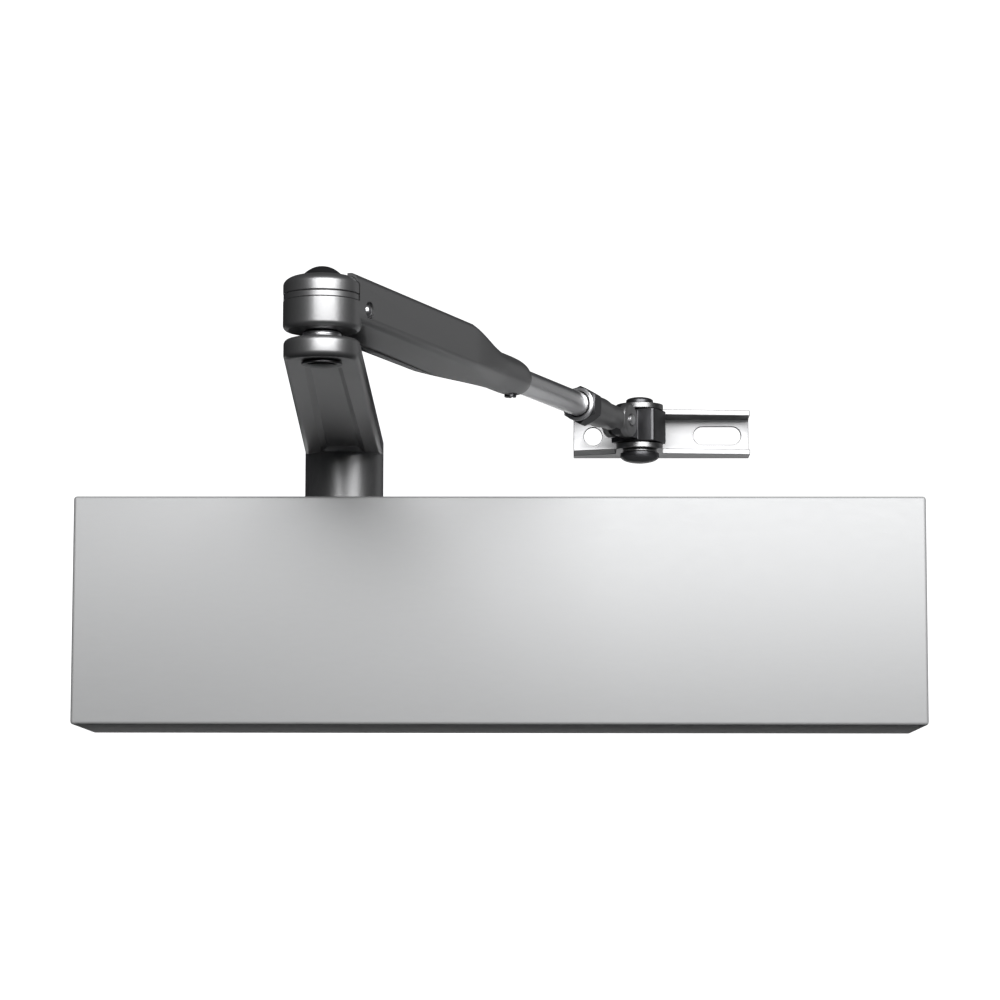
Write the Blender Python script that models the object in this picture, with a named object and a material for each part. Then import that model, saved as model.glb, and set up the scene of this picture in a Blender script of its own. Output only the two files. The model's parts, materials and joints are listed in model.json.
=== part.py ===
"""Rack-and-pinion door closer with a slide-off cover, a two-piece arm and a frame shoe.

The origin is on the mounting plane at the centre of the cover: +X to the right, +Y into the
door, +Z up. The arm points away from the door and folds back to the shoe above the body.
"""

import math

import bmesh
import bpy
from mathutils import Matrix, Vector

MM = 0.001
GAP = 0.3 * MM                      # room left between pieces that touch

# Driving dimensions
COVER_LENGTH = 300 * MM
COVER_HEIGHT = 80.4 * MM
COVER_DEPTH = 59.4 * MM
COVER_WALL = 2.0 * MM
SPINDLE_X = -56.4 * MM              # the spindle's axis is upright
SPINDLE_Y = -29.4 * MM
ARM_LENGTH = 215.6 * MM             # spindle axis to elbow axis
ARM_YAW = math.radians(-88.33)      # the main arm's direction, from +X
FOREARM_REACH = 241.72 * MM         # elbow axis to shoe pivot
FOREARM_YAW = math.radians(65.426)  # the forearm's direction, from +X
FOREARM_DROP = math.radians(1.83)   # the forearm runs down towards the shoe
ELBOW_AXIS_HEIGHT = 76.6 * MM       # where the forearm's centre line meets the elbow axis

# Body
HOUSING_LENGTH = 248 * MM
HOUSING_HEIGHT = 56 * MM
HOUSING_FRONT = -53.4 * MM
PLATE_THICKNESS = 3 * MM
HOUSING_BACK = -PLATE_THICKNESS - GAP
FOOT_LENGTH = 284 * MM
FOOT_FRONT = -13.3 * MM
BOSS_RADIUS = 17 * MM
BOSS_HEIGHT = 68 * MM
BORE_RADIUS = 19.05 * MM
GLAND_RADIUS = 12.5 * MM            # upright bore for the spindle's bearings
BODY_SCREW_X = 133 * MM
BODY_SCREW_Z = 19 * MM
BODY_SCREW_RADIUS = 3 * MM
PLATE_SCREW_X = 95 * MM
PLATE_SCREW_Z = 20 * MM
VALVE_Z = 22.6 * MM
VALVES = {"closing_speed_valve": -100 * MM, "latching_speed_valve": -86 * MM, "backcheck_valve": -14 * MM}
VALVE_RADIUS = 3.2 * MM
VALVE_DEPTH = 16 * MM

# Gear and piston
MODULE = 2 * MM
TEETH = 10
PRESSURE_ANGLE = math.radians(25)
PITCH_RADIUS = MODULE * TEETH / 2
ADDENDUM = 1.6 * MM
DEDENDUM = 1.9 * MM
BACKLASH = 0.13 * MM                # taken off each flank
GEAR_HALF_HEIGHT = 9.5 * MM
JOURNAL_RADIUS = 7.9 * MM
PISTON_RADIUS = 18.65 * MM
PISTON_LEFT = -110 * MM
PISTON_RIGHT = -29 * MM
SLOT_LEFT = -99.5 * MM
SLOT_RIGHT = -43.4 * MM
SLOT_BACK = 12.6 * MM               # from the spindle's axis to the slot's plain side
CAP_INNER = 112.5 * MM
CAP_OUTER = 123.5 * MM
CAP_RADIUS = 18.7 * MM
SEAT_LEFT = 103 * MM
SEAT_RIGHT = 108 * MM
SPRING_RADIUS = 13.5 * MM
SPRING_WIRE = 2.3 * MM
SPRING_TURNS = 10

# Arm
ARM_UNDERSIDE = 58.2 * MM
ARM_TOP = 64.7 * MM
HUB_RADIUS = 14.1 * MM
HUB_BOTTOM = 36.8 * MM
ELBOW_RADIUS = 11.5 * MM
SQUARE_HALF = 5.5 * MM
PANEL_DEPTH = 1.6 * MM              # the hollow between the bar's ribs
ELBOW_PIN_RADIUS = 3.4 * MM
ELBOW_HOLE = 3.8 * MM
ELBOW_PIN_TOP = 87.0 * MM
ELBOW_PIN_FOOT = 56.3 * MM
KNUCKLE_RADIUS = 11.7 * MM
KNUCKLE_BOTTOM = 67.3 * MM
KNUCKLE_TOP = 76.0 * MM
RING_TOP = 77.8 * MM
CAP_TOP = 83.9 * MM
SLEEVE_HALF_WIDTH = 11.7 * MM
SLEEVE_UP = 7.8 * MM                # above and below the forearm's centre line
SLEEVE_DOWN = 6.5 * MM
SLEEVE_RIB = 3.2 * MM
SLEEVE_STRAIGHT = 81 * MM           # distances along the forearm, from the elbow axis
SLEEVE_TAPERED = 118 * MM
SLEEVE_END = 138 * MM
CLAMP_ALONG = 132 * MM
COLLAR_RADIUS = 6.4 * MM
SIDE_PIN_PLACE = (8.5 * MM, 0, -2.2 * MM)
ROD_RADIUS = 4.2 * MM
ROD_START = 60.7 * MM
ROD_END = 206.7 * MM
ROD_HOLE = 4.5 * MM
NUT_START = 186.7 * MM
NUT_END = 193.9 * MM
NUT_CORNER = 6.8 * MM
SHANK_RADIUS = 5.3 * MM
NECK_RADIUS = 4.6 * MM
CROSS_PIN_ALONG = 223.2 * MM
CROSS_PIN_RADIUS = 2 * MM
EYE_RADIUS = 6 * MM
TINE_OUTER = 4.8 * MM
TINE_INNER = 2.4 * MM
TONGUE_RADIUS = 5.2 * MM

# Shoe
SHOE_LEFT = 26.6 * MM
SHOE_RIGHT = 91.2 * MM
SHOE_BOTTOM = 61.2 * MM
SHOE_TOP = 77.6 * MM
SHOE_WALL = 2 * MM
SHOE_EAR = 8.5 * MM                 # round the rivet
SHOE_HOLE = (33.8 * MM, 69.3 * MM)
SHOE_SLOT = (79.6 * MM, 69.6 * MM)
SHOE_HOLE_RADIUS = 3.35 * MM
SHOE_SLOT_HALF = 5.4 * MM           # half the distance between the slot's end centres
RIVET_RADIUS = 3 * MM
RIVET_HOLE = 3.35 * MM


def clear_scene():
    for item in list(bpy.data.objects):
        bpy.data.objects.remove(item, do_unlink=True)


def finish(name, colour, roughness, metallic):
    surface = bpy.data.materials.new(name)
    surface.use_nodes = True
    shader = surface.node_tree.nodes["Principled BSDF"]
    shader.inputs["Base Color"].default_value = (*colour, 1)
    shader.inputs["Roughness"].default_value = roughness
    shader.inputs["Metallic"].default_value = metallic
    return surface


def frame(name, place, parent=None):
    """An empty that holds the pieces of one moving group."""
    empty = bpy.data.objects.new(name, None)
    bpy.context.scene.collection.objects.link(empty)
    empty.parent = parent
    empty.matrix_local = place
    return empty


def add(name, solid, surface, parent, place=(0, 0, 0)):
    """Makes an object of a bmesh, placed in its parent's frame."""
    mesh = bpy.data.meshes.new(name)
    solid.to_mesh(mesh)
    solid.free()
    mesh.shade_smooth()
    mesh.set_sharp_from_angle(angle=math.radians(35))
    if surface:
        mesh.materials.append(surface)
    piece = bpy.data.objects.new(name, mesh)
    bpy.context.scene.collection.objects.link(piece)
    piece.parent = parent
    piece.location = place
    return piece


def combine(piece, operation, solid):
    """Cuts a tool solid from a piece, or joins it on. The tool lies in the piece's own frame."""
    tool = add(piece.name + "_" + operation.lower(), solid, None, piece)
    tool.hide_render = True
    tool.display_type = "WIRE"
    modifier = piece.modifiers.new(operation.title(), "BOOLEAN")
    modifier.operation = operation
    modifier.solver = "EXACT"
    modifier.object = tool


def turned(profile, segments, ring=False):
    """Spins (radius, height) points about Z. A ring's profile doesn't touch the axis."""
    solid = bmesh.new()
    points = [solid.verts.new((radius, 0, height)) for radius, height in profile]
    edges = [solid.edges.new(pair) for pair in zip(points, points[1:])]
    if ring:
        edges.append(solid.edges.new((points[-1], points[0])))
    bmesh.ops.spin(solid, geom=points + edges, cent=(0, 0, 0), axis=(0, 0, 1),
                   angle=2 * math.pi, steps=segments, use_merge=True)
    bmesh.ops.remove_doubles(solid, verts=solid.verts, dist=1e-6)
    bmesh.ops.recalc_face_normals(solid, faces=solid.faces)
    return solid


def rod(radius, bottom, top, segments=16):
    return turned([(0, bottom), (radius, bottom), (radius, top), (0, top)], segments)


def washer(inner, outer, bottom, top, segments=24):
    return turned([(inner, bottom), (outer, bottom), (outer, top), (inner, top)], segments, ring=True)


def prism(outline, bottom, top):
    """Extrudes a closed outline of (x, y) points along Z."""
    solid = bmesh.new()
    base = solid.faces.new([solid.verts.new((x, y, bottom)) for x, y in outline])
    grown = bmesh.ops.extrude_face_region(solid, geom=[base])
    top_points = [item for item in grown["geom"] if isinstance(item, bmesh.types.BMVert)]
    bmesh.ops.translate(solid, verts=top_points, vec=(0, 0, top - bottom))
    bmesh.ops.recalc_face_normals(solid, faces=solid.faces)
    return solid


def box(low, high):
    outline = [(low[0], low[1]), (high[0], low[1]), (high[0], high[1]), (low[0], high[1])]
    return prism(outline, low[2], high[2])


def arc(centre, radius, start, end, steps):
    """Points on an arc, from one angle to another in degrees."""
    angles = [math.radians(start + (end - start) * step / steps) for step in range(steps + 1)]
    return [(centre[0] + radius * math.cos(a), centre[1] + radius * math.sin(a)) for a in angles]


def hexagon(corner_radius, bottom, top):
    return prism(arc((0, 0), corner_radius, 0, 300, 5), bottom, top)


def gathered(*solids):
    """Several separate solids in one mesh, for a tool that cuts in several places."""
    result = bmesh.new()
    for solid in solids:
        scratch = bpy.data.meshes.new("scratch")
        solid.to_mesh(scratch)
        solid.free()
        result.from_mesh(scratch)
        bpy.data.meshes.remove(scratch)
    return result


def placed(solid, place):
    bmesh.ops.transform(solid, matrix=place, verts=solid.verts)
    return solid


def bevelled(solid, width, segments, pick):
    """Rounds the edges that pick accepts."""
    edges = [edge for edge in solid.edges if pick(edge)]
    bmesh.ops.bevel(solid, geom=edges, offset=width, segments=segments, profile=0.5,
                    affect="EDGES", material=-1)
    return solid


def runs_along(edge, axis):
    direction = (edge.verts[1].co - edge.verts[0].co).normalized()
    return abs(direction[axis]) > 0.99


ALONG_X = Matrix.Rotation(math.radians(90), 4, "Y")        # turns a piece's Z to +X
FACING_OUT = Matrix.Rotation(math.radians(90), 4, "X")     # turns a piece's Z to -Y


def moved(x, y, z):
    return Matrix.Translation((x, y, z))


# ---------------------------------------------------------------- body

def cover(surface, root):
    """A plain sheet-metal box, open towards the door, with a notch for the spindle's hub."""
    half, tall = COVER_LENGTH / 2, COVER_HEIGHT / 2
    shell = box((-half, -COVER_DEPTH, -tall), (half, -0.4 * MM, tall))
    bevelled(shell, 1.0 * MM, 2, lambda edge: max(v.co.y for v in edge.verts) < -COVER_DEPTH + MM
             or runs_along(edge, 1))
    piece = add("cover", shell, surface, root)
    inner = box((-half + COVER_WALL, -COVER_DEPTH + COVER_WALL, -tall + COVER_WALL),
                (half - COVER_WALL, 5 * MM, tall - COVER_WALL))
    combine(piece, "DIFFERENCE", inner)
    notch_radius = HUB_RADIUS + 0.7 * MM
    notch = arc((SPINDLE_X, SPINDLE_Y), notch_radius, 180, 360, 14)
    notch += [(SPINDLE_X + notch_radius, 5 * MM), (SPINDLE_X - notch_radius, 5 * MM)]
    combine(piece, "DIFFERENCE", prism(notch, tall - 2 * COVER_WALL, tall + COVER_WALL))


def housing(surface, root):
    """The cast body: a piston bore along X, an upright spindle bore, feet and valve bores."""
    half, tall = HOUSING_LENGTH / 2, HOUSING_HEIGHT / 2
    block = box((-half, HOUSING_FRONT, -tall), (half, HOUSING_BACK, tall))
    bevelled(block, 3 * MM, 2, lambda edge: runs_along(edge, 0) and edge.verts[0].co.y < -0.02)
    piece = add("closer_housing", block, surface, root)
    foot = box((-FOOT_LENGTH / 2, FOOT_FRONT, -tall), (FOOT_LENGTH / 2, HOUSING_BACK, tall))
    combine(piece, "UNION", foot)
    boss = rod(BOSS_RADIUS, -BOSS_HEIGHT / 2, BOSS_HEIGHT / 2, 32)
    combine(piece, "UNION", placed(boss, moved(SPINDLE_X, SPINDLE_Y, 0)))
    bore = rod(BORE_RADIUS, -half - MM, half + MM, 40)
    combine(piece, "DIFFERENCE", placed(bore, moved(0, SPINDLE_Y, 0) @ ALONG_X))
    gland = rod(GLAND_RADIUS, -BOSS_HEIGHT, BOSS_HEIGHT, 32)
    combine(piece, "DIFFERENCE", placed(gland, moved(SPINDLE_X, SPINDLE_Y, 0)))
    holes = [placed(rod(BODY_SCREW_RADIUS + GAP, 0, 20 * MM), moved(x, 0, z) @ FACING_OUT)
             for x in (-BODY_SCREW_X, BODY_SCREW_X) for z in (-BODY_SCREW_Z, BODY_SCREW_Z)]
    holes += [placed(rod(VALVE_RADIUS + GAP, 0, VALVE_DEPTH + MM),
                     moved(x, HOUSING_FRONT + VALVE_DEPTH, VALVE_Z) @ FACING_OUT)
              for x in VALVES.values()]
    combine(piece, "DIFFERENCE", gathered(*holes))


def mounting_plate(surface, root):
    """The plate that is screwed to the door first. The body is then screwed to it."""
    plate = box((-146 * MM, -PLATE_THICKNESS, -36 * MM), (146 * MM, 0, 36 * MM))
    bevelled(plate, 4 * MM, 3, lambda edge: runs_along(edge, 1))
    piece = add("mounting_plate", plate, surface, root)
    holes = [placed(rod(BODY_SCREW_RADIUS + GAP, -MM, 5 * MM), moved(x, 0, z) @ FACING_OUT)
             for x in (-BODY_SCREW_X, BODY_SCREW_X) for z in (-BODY_SCREW_Z, BODY_SCREW_Z)]
    sunk = [(0, -MM), (3.2 * MM, -MM), (3.2 * MM, 0.8 * MM), (6.4 * MM, 4 * MM), (0, 4 * MM)]
    holes += [placed(turned(sunk, 16), moved(x, 0, z) @ FACING_OUT)
              for x in (-PLATE_SCREW_X, PLATE_SCREW_X) for z in (-PLATE_SCREW_Z, PLATE_SCREW_Z)]
    combine(piece, "DIFFERENCE", gathered(*holes))


def body_screws(surface, root):
    """Four socket screws through the body's feet into the plate. Each screw's Z points out."""
    seat = -FOOT_FRONT + GAP
    profile = [(0, 0.4 * MM), (BODY_SCREW_RADIUS, 0.4 * MM), (BODY_SCREW_RADIUS, seat),
               (5 * MM, seat), (5 * MM, seat + 5 * MM), (0, seat + 5 * MM)]
    places = [(x, z) for x in (-BODY_SCREW_X, BODY_SCREW_X) for z in (BODY_SCREW_Z, -BODY_SCREW_Z)]
    for number, (x, z) in enumerate(places, start=1):
        piece = add("body_screw_%d" % number, turned(profile, 16), surface, root, (x, 0, z))
        piece.rotation_euler.x = math.radians(90)
        combine(piece, "DIFFERENCE", hexagon(2.8 * MM, seat + 2 * MM, seat + 6 * MM))


def cover_clips(surface, root):
    """Bent spring strips on the plate, which press on the cover's end walls."""
    for name, side in (("cover_clip_left", -1), ("cover_clip_right", 1)):
        front, thick = -20 * MM, 1.3 * MM
        outer, inner, base = 147.3 * MM, 142.6 * MM, HOUSING_BACK
        outline = [(inner, base), (inner, base - thick), (outer - thick, base - thick),
                   (outer - thick - MM, front + 5 * MM), (outer - thick, front),
                   (outer, front), (outer - MM, front + 5 * MM), (outer, base - thick), (outer, base)]
        strip = prism([(side * x, y) for x, y in outline], -12 * MM, 12 * MM)
        add(name, strip, surface, root)


def valves(surface, root):
    """Slotted speed valves in the body's front wall. Each valve's Z points out."""
    top = VALVE_DEPTH + 0.8 * MM
    profile = [(0, GAP), (1.2 * MM, GAP), (VALVE_RADIUS, 4 * MM), (VALVE_RADIUS, top), (0, top)]
    for name, x in VALVES.items():
        place = (x, HOUSING_FRONT + VALVE_DEPTH, VALVE_Z)
        piece = add(name, turned(profile, 16), surface, root, place)
        piece.rotation_euler.x = math.radians(90)
        slot = box((-4 * MM, -0.5 * MM, top - 1.2 * MM), (4 * MM, 0.5 * MM, top + MM))
        combine(piece, "DIFFERENCE", slot)


def end_caps(metal, rubber, bore):
    """Threaded plugs that close the bore, each with a seal in a groove. Z runs along the bore."""
    groove_radius, groove_width = 16.4 * MM, 2.6 * MM
    for name, side, hole in (("end_cap_left", -1, 0), ("end_cap_right", 1, 5.3 * MM)):
        groove = CAP_INNER + 3 * MM
        profile = [(hole, CAP_INNER), (CAP_RADIUS, CAP_INNER), (CAP_RADIUS, groove),
                   (groove_radius, groove), (groove_radius, groove + groove_width),
                   (CAP_RADIUS, groove + groove_width), (CAP_RADIUS, CAP_OUTER), (hole, CAP_OUTER)]
        piece = add(name, turned([(r, side * z) for r, z in profile], 32, ring=hole > 0), metal, bore)
        low, high = sorted((side * (CAP_OUTER - 5 * MM), side * (CAP_OUTER + MM)))
        if hole:
            pegs = [placed(rod(2 * MM, low, high, 12), moved(0, y, 0)) for y in (-12 * MM, 12 * MM)]
            combine(piece, "DIFFERENCE", gathered(*pegs))
        else:
            combine(piece, "DIFFERENCE", hexagon(8 * MM, low, high))
        low, high = sorted((side * (groove + GAP), side * (groove + groove_width - GAP)))
        seal_name = name.replace("cap", "cap_seal")
        add(seal_name, washer(groove_radius + GAP, CAP_RADIUS + 0.05 * MM, low, high, 32), rubber, bore)


def spindle_glands(metal, brass, rubber, spindle):
    """Bearings, seals and threaded closures above and below the pinion."""
    inner, outer = JOURNAL_RADIUS + 0.35 * MM, GLAND_RADIUS - GAP
    add("upper_bearing", washer(inner, outer, 20 * MM, 27 * MM), brass, spindle)
    add("lower_bearing", washer(inner, outer, -27 * MM, -20 * MM), brass, spindle)
    add("upper_seal", washer(inner, outer, 27.3 * MM, 29.3 * MM), rubber, spindle)
    add("lower_seal", washer(5 * MM, outer, -29.3 * MM, -27.3 * MM), rubber, spindle)
    add("spindle_nut", washer(inner, outer, 29.6 * MM, 35.2 * MM), metal, spindle)
    plug = add("lower_plug", rod(outer, -35.2 * MM, -29.6 * MM, 24), metal, spindle)
    combine(plug, "DIFFERENCE", hexagon(5 * MM, -36 * MM, -31 * MM))


# ---------------------------------------------------------------- gear train

def tooth_half_angle(radius):
    """Half the angle that a pinion tooth covers at a radius, from the involute."""
    base = PITCH_RADIUS * math.cos(PRESSURE_ANGLE)
    at_pitch = (math.pi * MODULE / 4 - BACKLASH) / PITCH_RADIUS
    here = math.acos(min(1, base / radius))
    return at_pitch + (math.tan(PRESSURE_ANGLE) - PRESSURE_ANGLE) - (math.tan(here) - here)


def pinion_outline(first_tooth):
    root_radius = PITCH_RADIUS - DEDENDUM - 0.1 * MM
    base = PITCH_RADIUS * math.cos(PRESSURE_ANGLE)
    flank = [base, PITCH_RADIUS, (PITCH_RADIUS + ADDENDUM / 2), PITCH_RADIUS + ADDENDUM]
    rising = [(root_radius, tooth_half_angle(base))] + [(r, tooth_half_angle(r)) for r in flank]
    points = []
    for tooth in range(TEETH):
        middle = first_tooth + 2 * math.pi * tooth / TEETH
        sides = [(r, middle - half) for r, half in rising]
        sides += [(r, middle + half) for r, half in reversed(rising)]
        points += [(r * math.cos(a), r * math.sin(a)) for r, a in sides]
    return points


def pinion(surface, arm):
    """Gear, journals and the square that the arm sits on. One tooth points straight at the rack."""
    first_tooth = math.radians(-90) - ARM_YAW
    gear = prism(pinion_outline(first_tooth), -GEAR_HALF_HEIGHT, GEAR_HALF_HEIGHT)
    piece = add("pinion", gear, surface, arm)
    combine(piece, "UNION", rod(JOURNAL_RADIUS, -26.8 * MM, 36.2 * MM, 32))
    side = SQUARE_HALF
    combine(piece, "UNION", box((-side, -side, 30 * MM), (side, side, 60.5 * MM)))
    combine(piece, "DIFFERENCE", rod(3.8 * MM, 42 * MM, 61 * MM))


def rack_slot():
    """The piston's slot in plan: teeth on the side away from the door, plain on the other."""
    pitch = math.pi * MODULE
    tip, root = -(PITCH_RADIUS - ADDENDUM), -(PITCH_RADIUS + DEDENDUM)
    half_at_tip = pitch / 4 + BACKLASH + ADDENDUM * math.tan(PRESSURE_ANGLE)
    half_at_root = pitch / 4 + BACKLASH - DEDENDUM * math.tan(PRESSURE_ANGLE)
    outline = [(SLOT_LEFT, tip)]
    for gap_number in range(-6, 2):
        middle = SPINDLE_X + gap_number * pitch
        outline += [(middle - half_at_tip, tip), (middle - half_at_root, root),
                    (middle + half_at_root, root), (middle + half_at_tip, tip)]
    outline += [(SLOT_RIGHT, tip), (SLOT_RIGHT, SLOT_BACK), (SLOT_LEFT, SLOT_BACK)]
    return [(x, SPINDLE_Y + y) for x, y in outline]


def piston(metal, rubber, brass, bore):
    """The piston with its rack, a seal and a check valve. Z runs along the bore."""
    groove = PISTON_LEFT + 3 * MM
    depth, width = 16.6 * MM, 2.6 * MM
    profile = [(0, PISTON_LEFT), (PISTON_RADIUS, PISTON_LEFT), (PISTON_RADIUS, groove),
               (depth, groove), (depth, groove + width), (PISTON_RADIUS, groove + width),
               (PISTON_RADIUS, PISTON_RIGHT), (0, PISTON_RIGHT)]
    piece = add("piston", turned(profile, 40), metal, bore)
    slot = prism(rack_slot(), -BORE_RADIUS - MM, BORE_RADIUS + MM)
    combine(piece, "DIFFERENCE", placed(slot, ALONG_X.inverted() @ moved(0, -SPINDLE_Y, 0)))
    combine(piece, "DIFFERENCE", rod(4.2 * MM, SLOT_RIGHT - MM, PISTON_RIGHT + MM))
    add("piston_seal", washer(depth + GAP, PISTON_RADIUS + 0.1 * MM, groove + GAP,
                              groove + width - GAP, 40), rubber, bore)
    add("check_valve", rod(3.9 * MM, SLOT_RIGHT + MM, PISTON_RIGHT - MM), brass, bore)


def spring(surface, bore):
    """The closing spring, between the piston and its adjustable seat."""
    start, end = PISTON_RIGHT + SPRING_WIRE + GAP, SEAT_LEFT - SPRING_WIRE - GAP
    steps = 12 * SPRING_TURNS
    coil = bpy.data.curves.new("main_spring", "CURVE")
    coil.dimensions = "3D"
    coil.bevel_depth = SPRING_WIRE
    coil.bevel_resolution = 1
    coil.use_fill_caps = True
    coil.materials.append(surface)
    line = coil.splines.new("POLY")
    line.points.add(steps)
    for step, point in enumerate(line.points):
        angle = 2 * math.pi * SPRING_TURNS * step / steps
        along = start + (end - start) * step / steps
        point.co = (SPRING_RADIUS * math.cos(angle), SPRING_RADIUS * math.sin(angle), along, 1)
    piece = bpy.data.objects.new("main_spring", coil)
    bpy.context.scene.collection.objects.link(piece)
    piece.parent = bore


def power_adjuster(surface, bore):
    """The screw through the right end cap, and the spring seat that it moves."""
    add("spring_seat", washer(5.2 * MM, 18.3 * MM, SEAT_LEFT, SEAT_RIGHT, 32), surface, bore)
    head = CAP_OUTER + GAP
    profile = [(0, 92 * MM), (4.9 * MM, 92 * MM), (4.9 * MM, head), (7.5 * MM, head),
               (7.5 * MM, head + 6 * MM), (0, head + 6 * MM)]
    piece = add("power_adjust_screw", turned(profile, 20), surface, bore)
    combine(piece, "DIFFERENCE", hexagon(3.6 * MM, head + 1.5 * MM, head + 7 * MM))


# ---------------------------------------------------------------- arm

def main_arm(surface, arm):
    """A forged bar with a square-holed hub. X runs along the arm, towards the elbow."""
    spread = math.degrees(math.asin((HUB_RADIUS - ELBOW_RADIUS) / ARM_LENGTH))
    outline = arc((0, 0), HUB_RADIUS, 90 - spread, 270 + spread, 16)
    outline += arc((ARM_LENGTH, 0), ELBOW_RADIUS, -90 + spread, 90 - spread, 12)
    bar = prism(outline, ARM_UNDERSIDE, ARM_TOP)
    bevelled(bar, 1.4 * MM, 2, lambda edge: abs(edge.verts[0].co.z - edge.verts[1].co.z) < 1e-5)
    piece = add("main_arm", bar, surface, arm)
    hub = [(0, HUB_BOTTOM), (HUB_RADIUS, HUB_BOTTOM), (HUB_RADIUS, ARM_UNDERSIDE + 2 * MM),
           (0, ARM_UNDERSIDE + 2 * MM)]
    combine(piece, "UNION", turned(hub, 32))
    near, far = 22 * MM, ARM_LENGTH - 11 * MM
    panel = [(near, -8 * MM), (far, -5.5 * MM), (far, 5.5 * MM), (near, 8 * MM)]
    tool = prism(panel, ARM_UNDERSIDE - MM, ARM_UNDERSIDE + PANEL_DEPTH)
    half = SQUARE_HALF + 0.35 * MM
    square = box((-half, -half, HUB_BOTTOM - MM), (half, half, ARM_TOP + MM))
    hole = placed(rod(ELBOW_HOLE, ARM_UNDERSIDE - MM, ARM_TOP + MM, 20), moved(ARM_LENGTH, 0, 0))
    combine(piece, "DIFFERENCE", gathered(tool, square, hole))


def arm_fasteners(dark, bright, arm, elbow):
    """The screw and washer on the spindle, and the riveted pin, washer and bush of the elbow."""
    add("arm_washer", washer(4 * MM, 9 * MM, ARM_TOP + GAP, ARM_TOP + 1.6 * MM), bright, arm)
    seat = ARM_TOP + 1.9 * MM
    profile = [(0, 44 * MM), (3.4 * MM, 44 * MM), (3.4 * MM, seat), (6.5 * MM, seat),
               (6.5 * MM, seat + 4 * MM), (0, seat + 4.6 * MM)]
    screw = add("arm_screw", turned(profile, 20), bright, arm)
    combine(screw, "DIFFERENCE", hexagon(3.4 * MM, seat + 1.5 * MM, seat + 6 * MM))
    foot, head = ELBOW_PIN_FOOT + 0.6 * MM, CAP_TOP + GAP
    profile = [(0, ELBOW_PIN_FOOT), (2.8 * MM, foot - 0.4 * MM), (4.6 * MM, foot),
               (ELBOW_PIN_RADIUS, foot + GAP), (ELBOW_PIN_RADIUS, head), (6 * MM, head),
               (5.2 * MM, head + 1.3 * MM), (3.2 * MM, head + 2.4 * MM), (0, ELBOW_PIN_TOP)]
    add("elbow_pin", turned(profile, 24), dark, elbow)
    under = ARM_UNDERSIDE - GAP
    add("elbow_washer", washer(ELBOW_HOLE, 6.1 * MM, under - 0.7 * MM, under), dark, elbow)
    bush = washer(ELBOW_HOLE, 6 * MM, ARM_TOP + GAP, KNUCKLE_BOTTOM - GAP)
    add("elbow_bush", bush, bright, elbow)


def sleeve_section(solid, along, half_width, top, bottom, squareness):
    """A ring of points across the forearm, from a box with round corners to a circle."""
    ring = []
    for step in range(28):
        angle = 2 * math.pi * step / 28
        across, up = math.cos(angle), math.sin(angle)
        y = half_width * math.copysign(abs(across) ** (2 / squareness), across)
        z = (top + bottom) / 2 + (top - bottom) / 2 * math.copysign(abs(up) ** (2 / squareness), up)
        ring.append(solid.verts.new((along, y, z)))
    return ring


def forearm_sleeve(surface, line):
    """The forearm's wide sleeve, tapering to a round collar, with the upper knuckle."""
    solid = bmesh.new()
    taper = SLEEVE_TAPERED - SLEEVE_STRAIGHT
    sections = [(0, SLEEVE_HALF_WIDTH, SLEEVE_UP, -SLEEVE_DOWN, 6)]
    for step in range(6):
        share = step / 5
        ease = 0.65 * share + 0.35 * share * share * (3 - 2 * share)
        sections.append((SLEEVE_STRAIGHT + taper * share,
                         SLEEVE_HALF_WIDTH + (COLLAR_RADIUS - SLEEVE_HALF_WIDTH) * ease,
                         SLEEVE_UP + (COLLAR_RADIUS - SLEEVE_UP) * ease,
                         -SLEEVE_DOWN + (SLEEVE_DOWN - COLLAR_RADIUS) * ease,
                         6 + (2 - 6) * ease))
    for back, radius in ((6 * MM, 6.4 * MM), (3 * MM, 6.1 * MM), (MM, 5.5 * MM), (0, 5 * MM)):
        sections.append((SLEEVE_END - back, radius, radius, -radius, 2))
    rings = [sleeve_section(solid, *section) for section in sections]
    for ring, after in zip(rings, rings[1:]):
        for step, point in enumerate(ring):
            solid.faces.new((point, ring[step - 1], after[step - 1], after[step]))
    solid.faces.new(rings[0])
    solid.faces.new(reversed(rings[-1]))
    bmesh.ops.recalc_face_normals(solid, faces=solid.faces)
    piece = add("forearm_sleeve", solid, surface, line)
    upright = line.matrix_local.inverted()
    edge = 2 * MM
    knuckle = [(0, KNUCKLE_BOTTOM)]
    knuckle += arc((KNUCKLE_RADIUS - edge, KNUCKLE_BOTTOM + edge), edge, -90, 0, 3)
    knuckle += [(KNUCKLE_RADIUS, KNUCKLE_TOP), (0, KNUCKLE_TOP)]
    combine(piece, "UNION", placed(turned(knuckle, 32), upright))
    pocket = rod(KNUCKLE_RADIUS + GAP, KNUCKLE_TOP, CAP_TOP + 5 * MM, 32)
    combine(piece, "DIFFERENCE", placed(pocket, upright))
    rib = SLEEVE_HALF_WIDTH - SLEEVE_RIB
    hollow = box((20 * MM, -rib, -9 * MM), (80 * MM, rib, MM - SLEEVE_DOWN))
    hole = placed(rod(ELBOW_HOLE, KNUCKLE_BOTTOM - MM, KNUCKLE_TOP + MM, 20), upright)
    combine(piece, "DIFFERENCE", gathered(hole, hollow))
    bore = placed(rod(ROD_HOLE, ROD_START - 36 * MM, SLEEVE_END + MM, 24), ALONG_X)
    combine(piece, "DIFFERENCE", bore)
    clamp = placed(rod(2.35 * MM, -10 * MM, -2 * MM), moved(CLAMP_ALONG, 0, 0))
    side_pin = placed(rod(2.2 * MM, 7.9 * MM, 13 * MM), moved(*SIDE_PIN_PLACE) @ FACING_OUT)
    combine(piece, "DIFFERENCE", gathered(clamp, side_pin))


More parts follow.
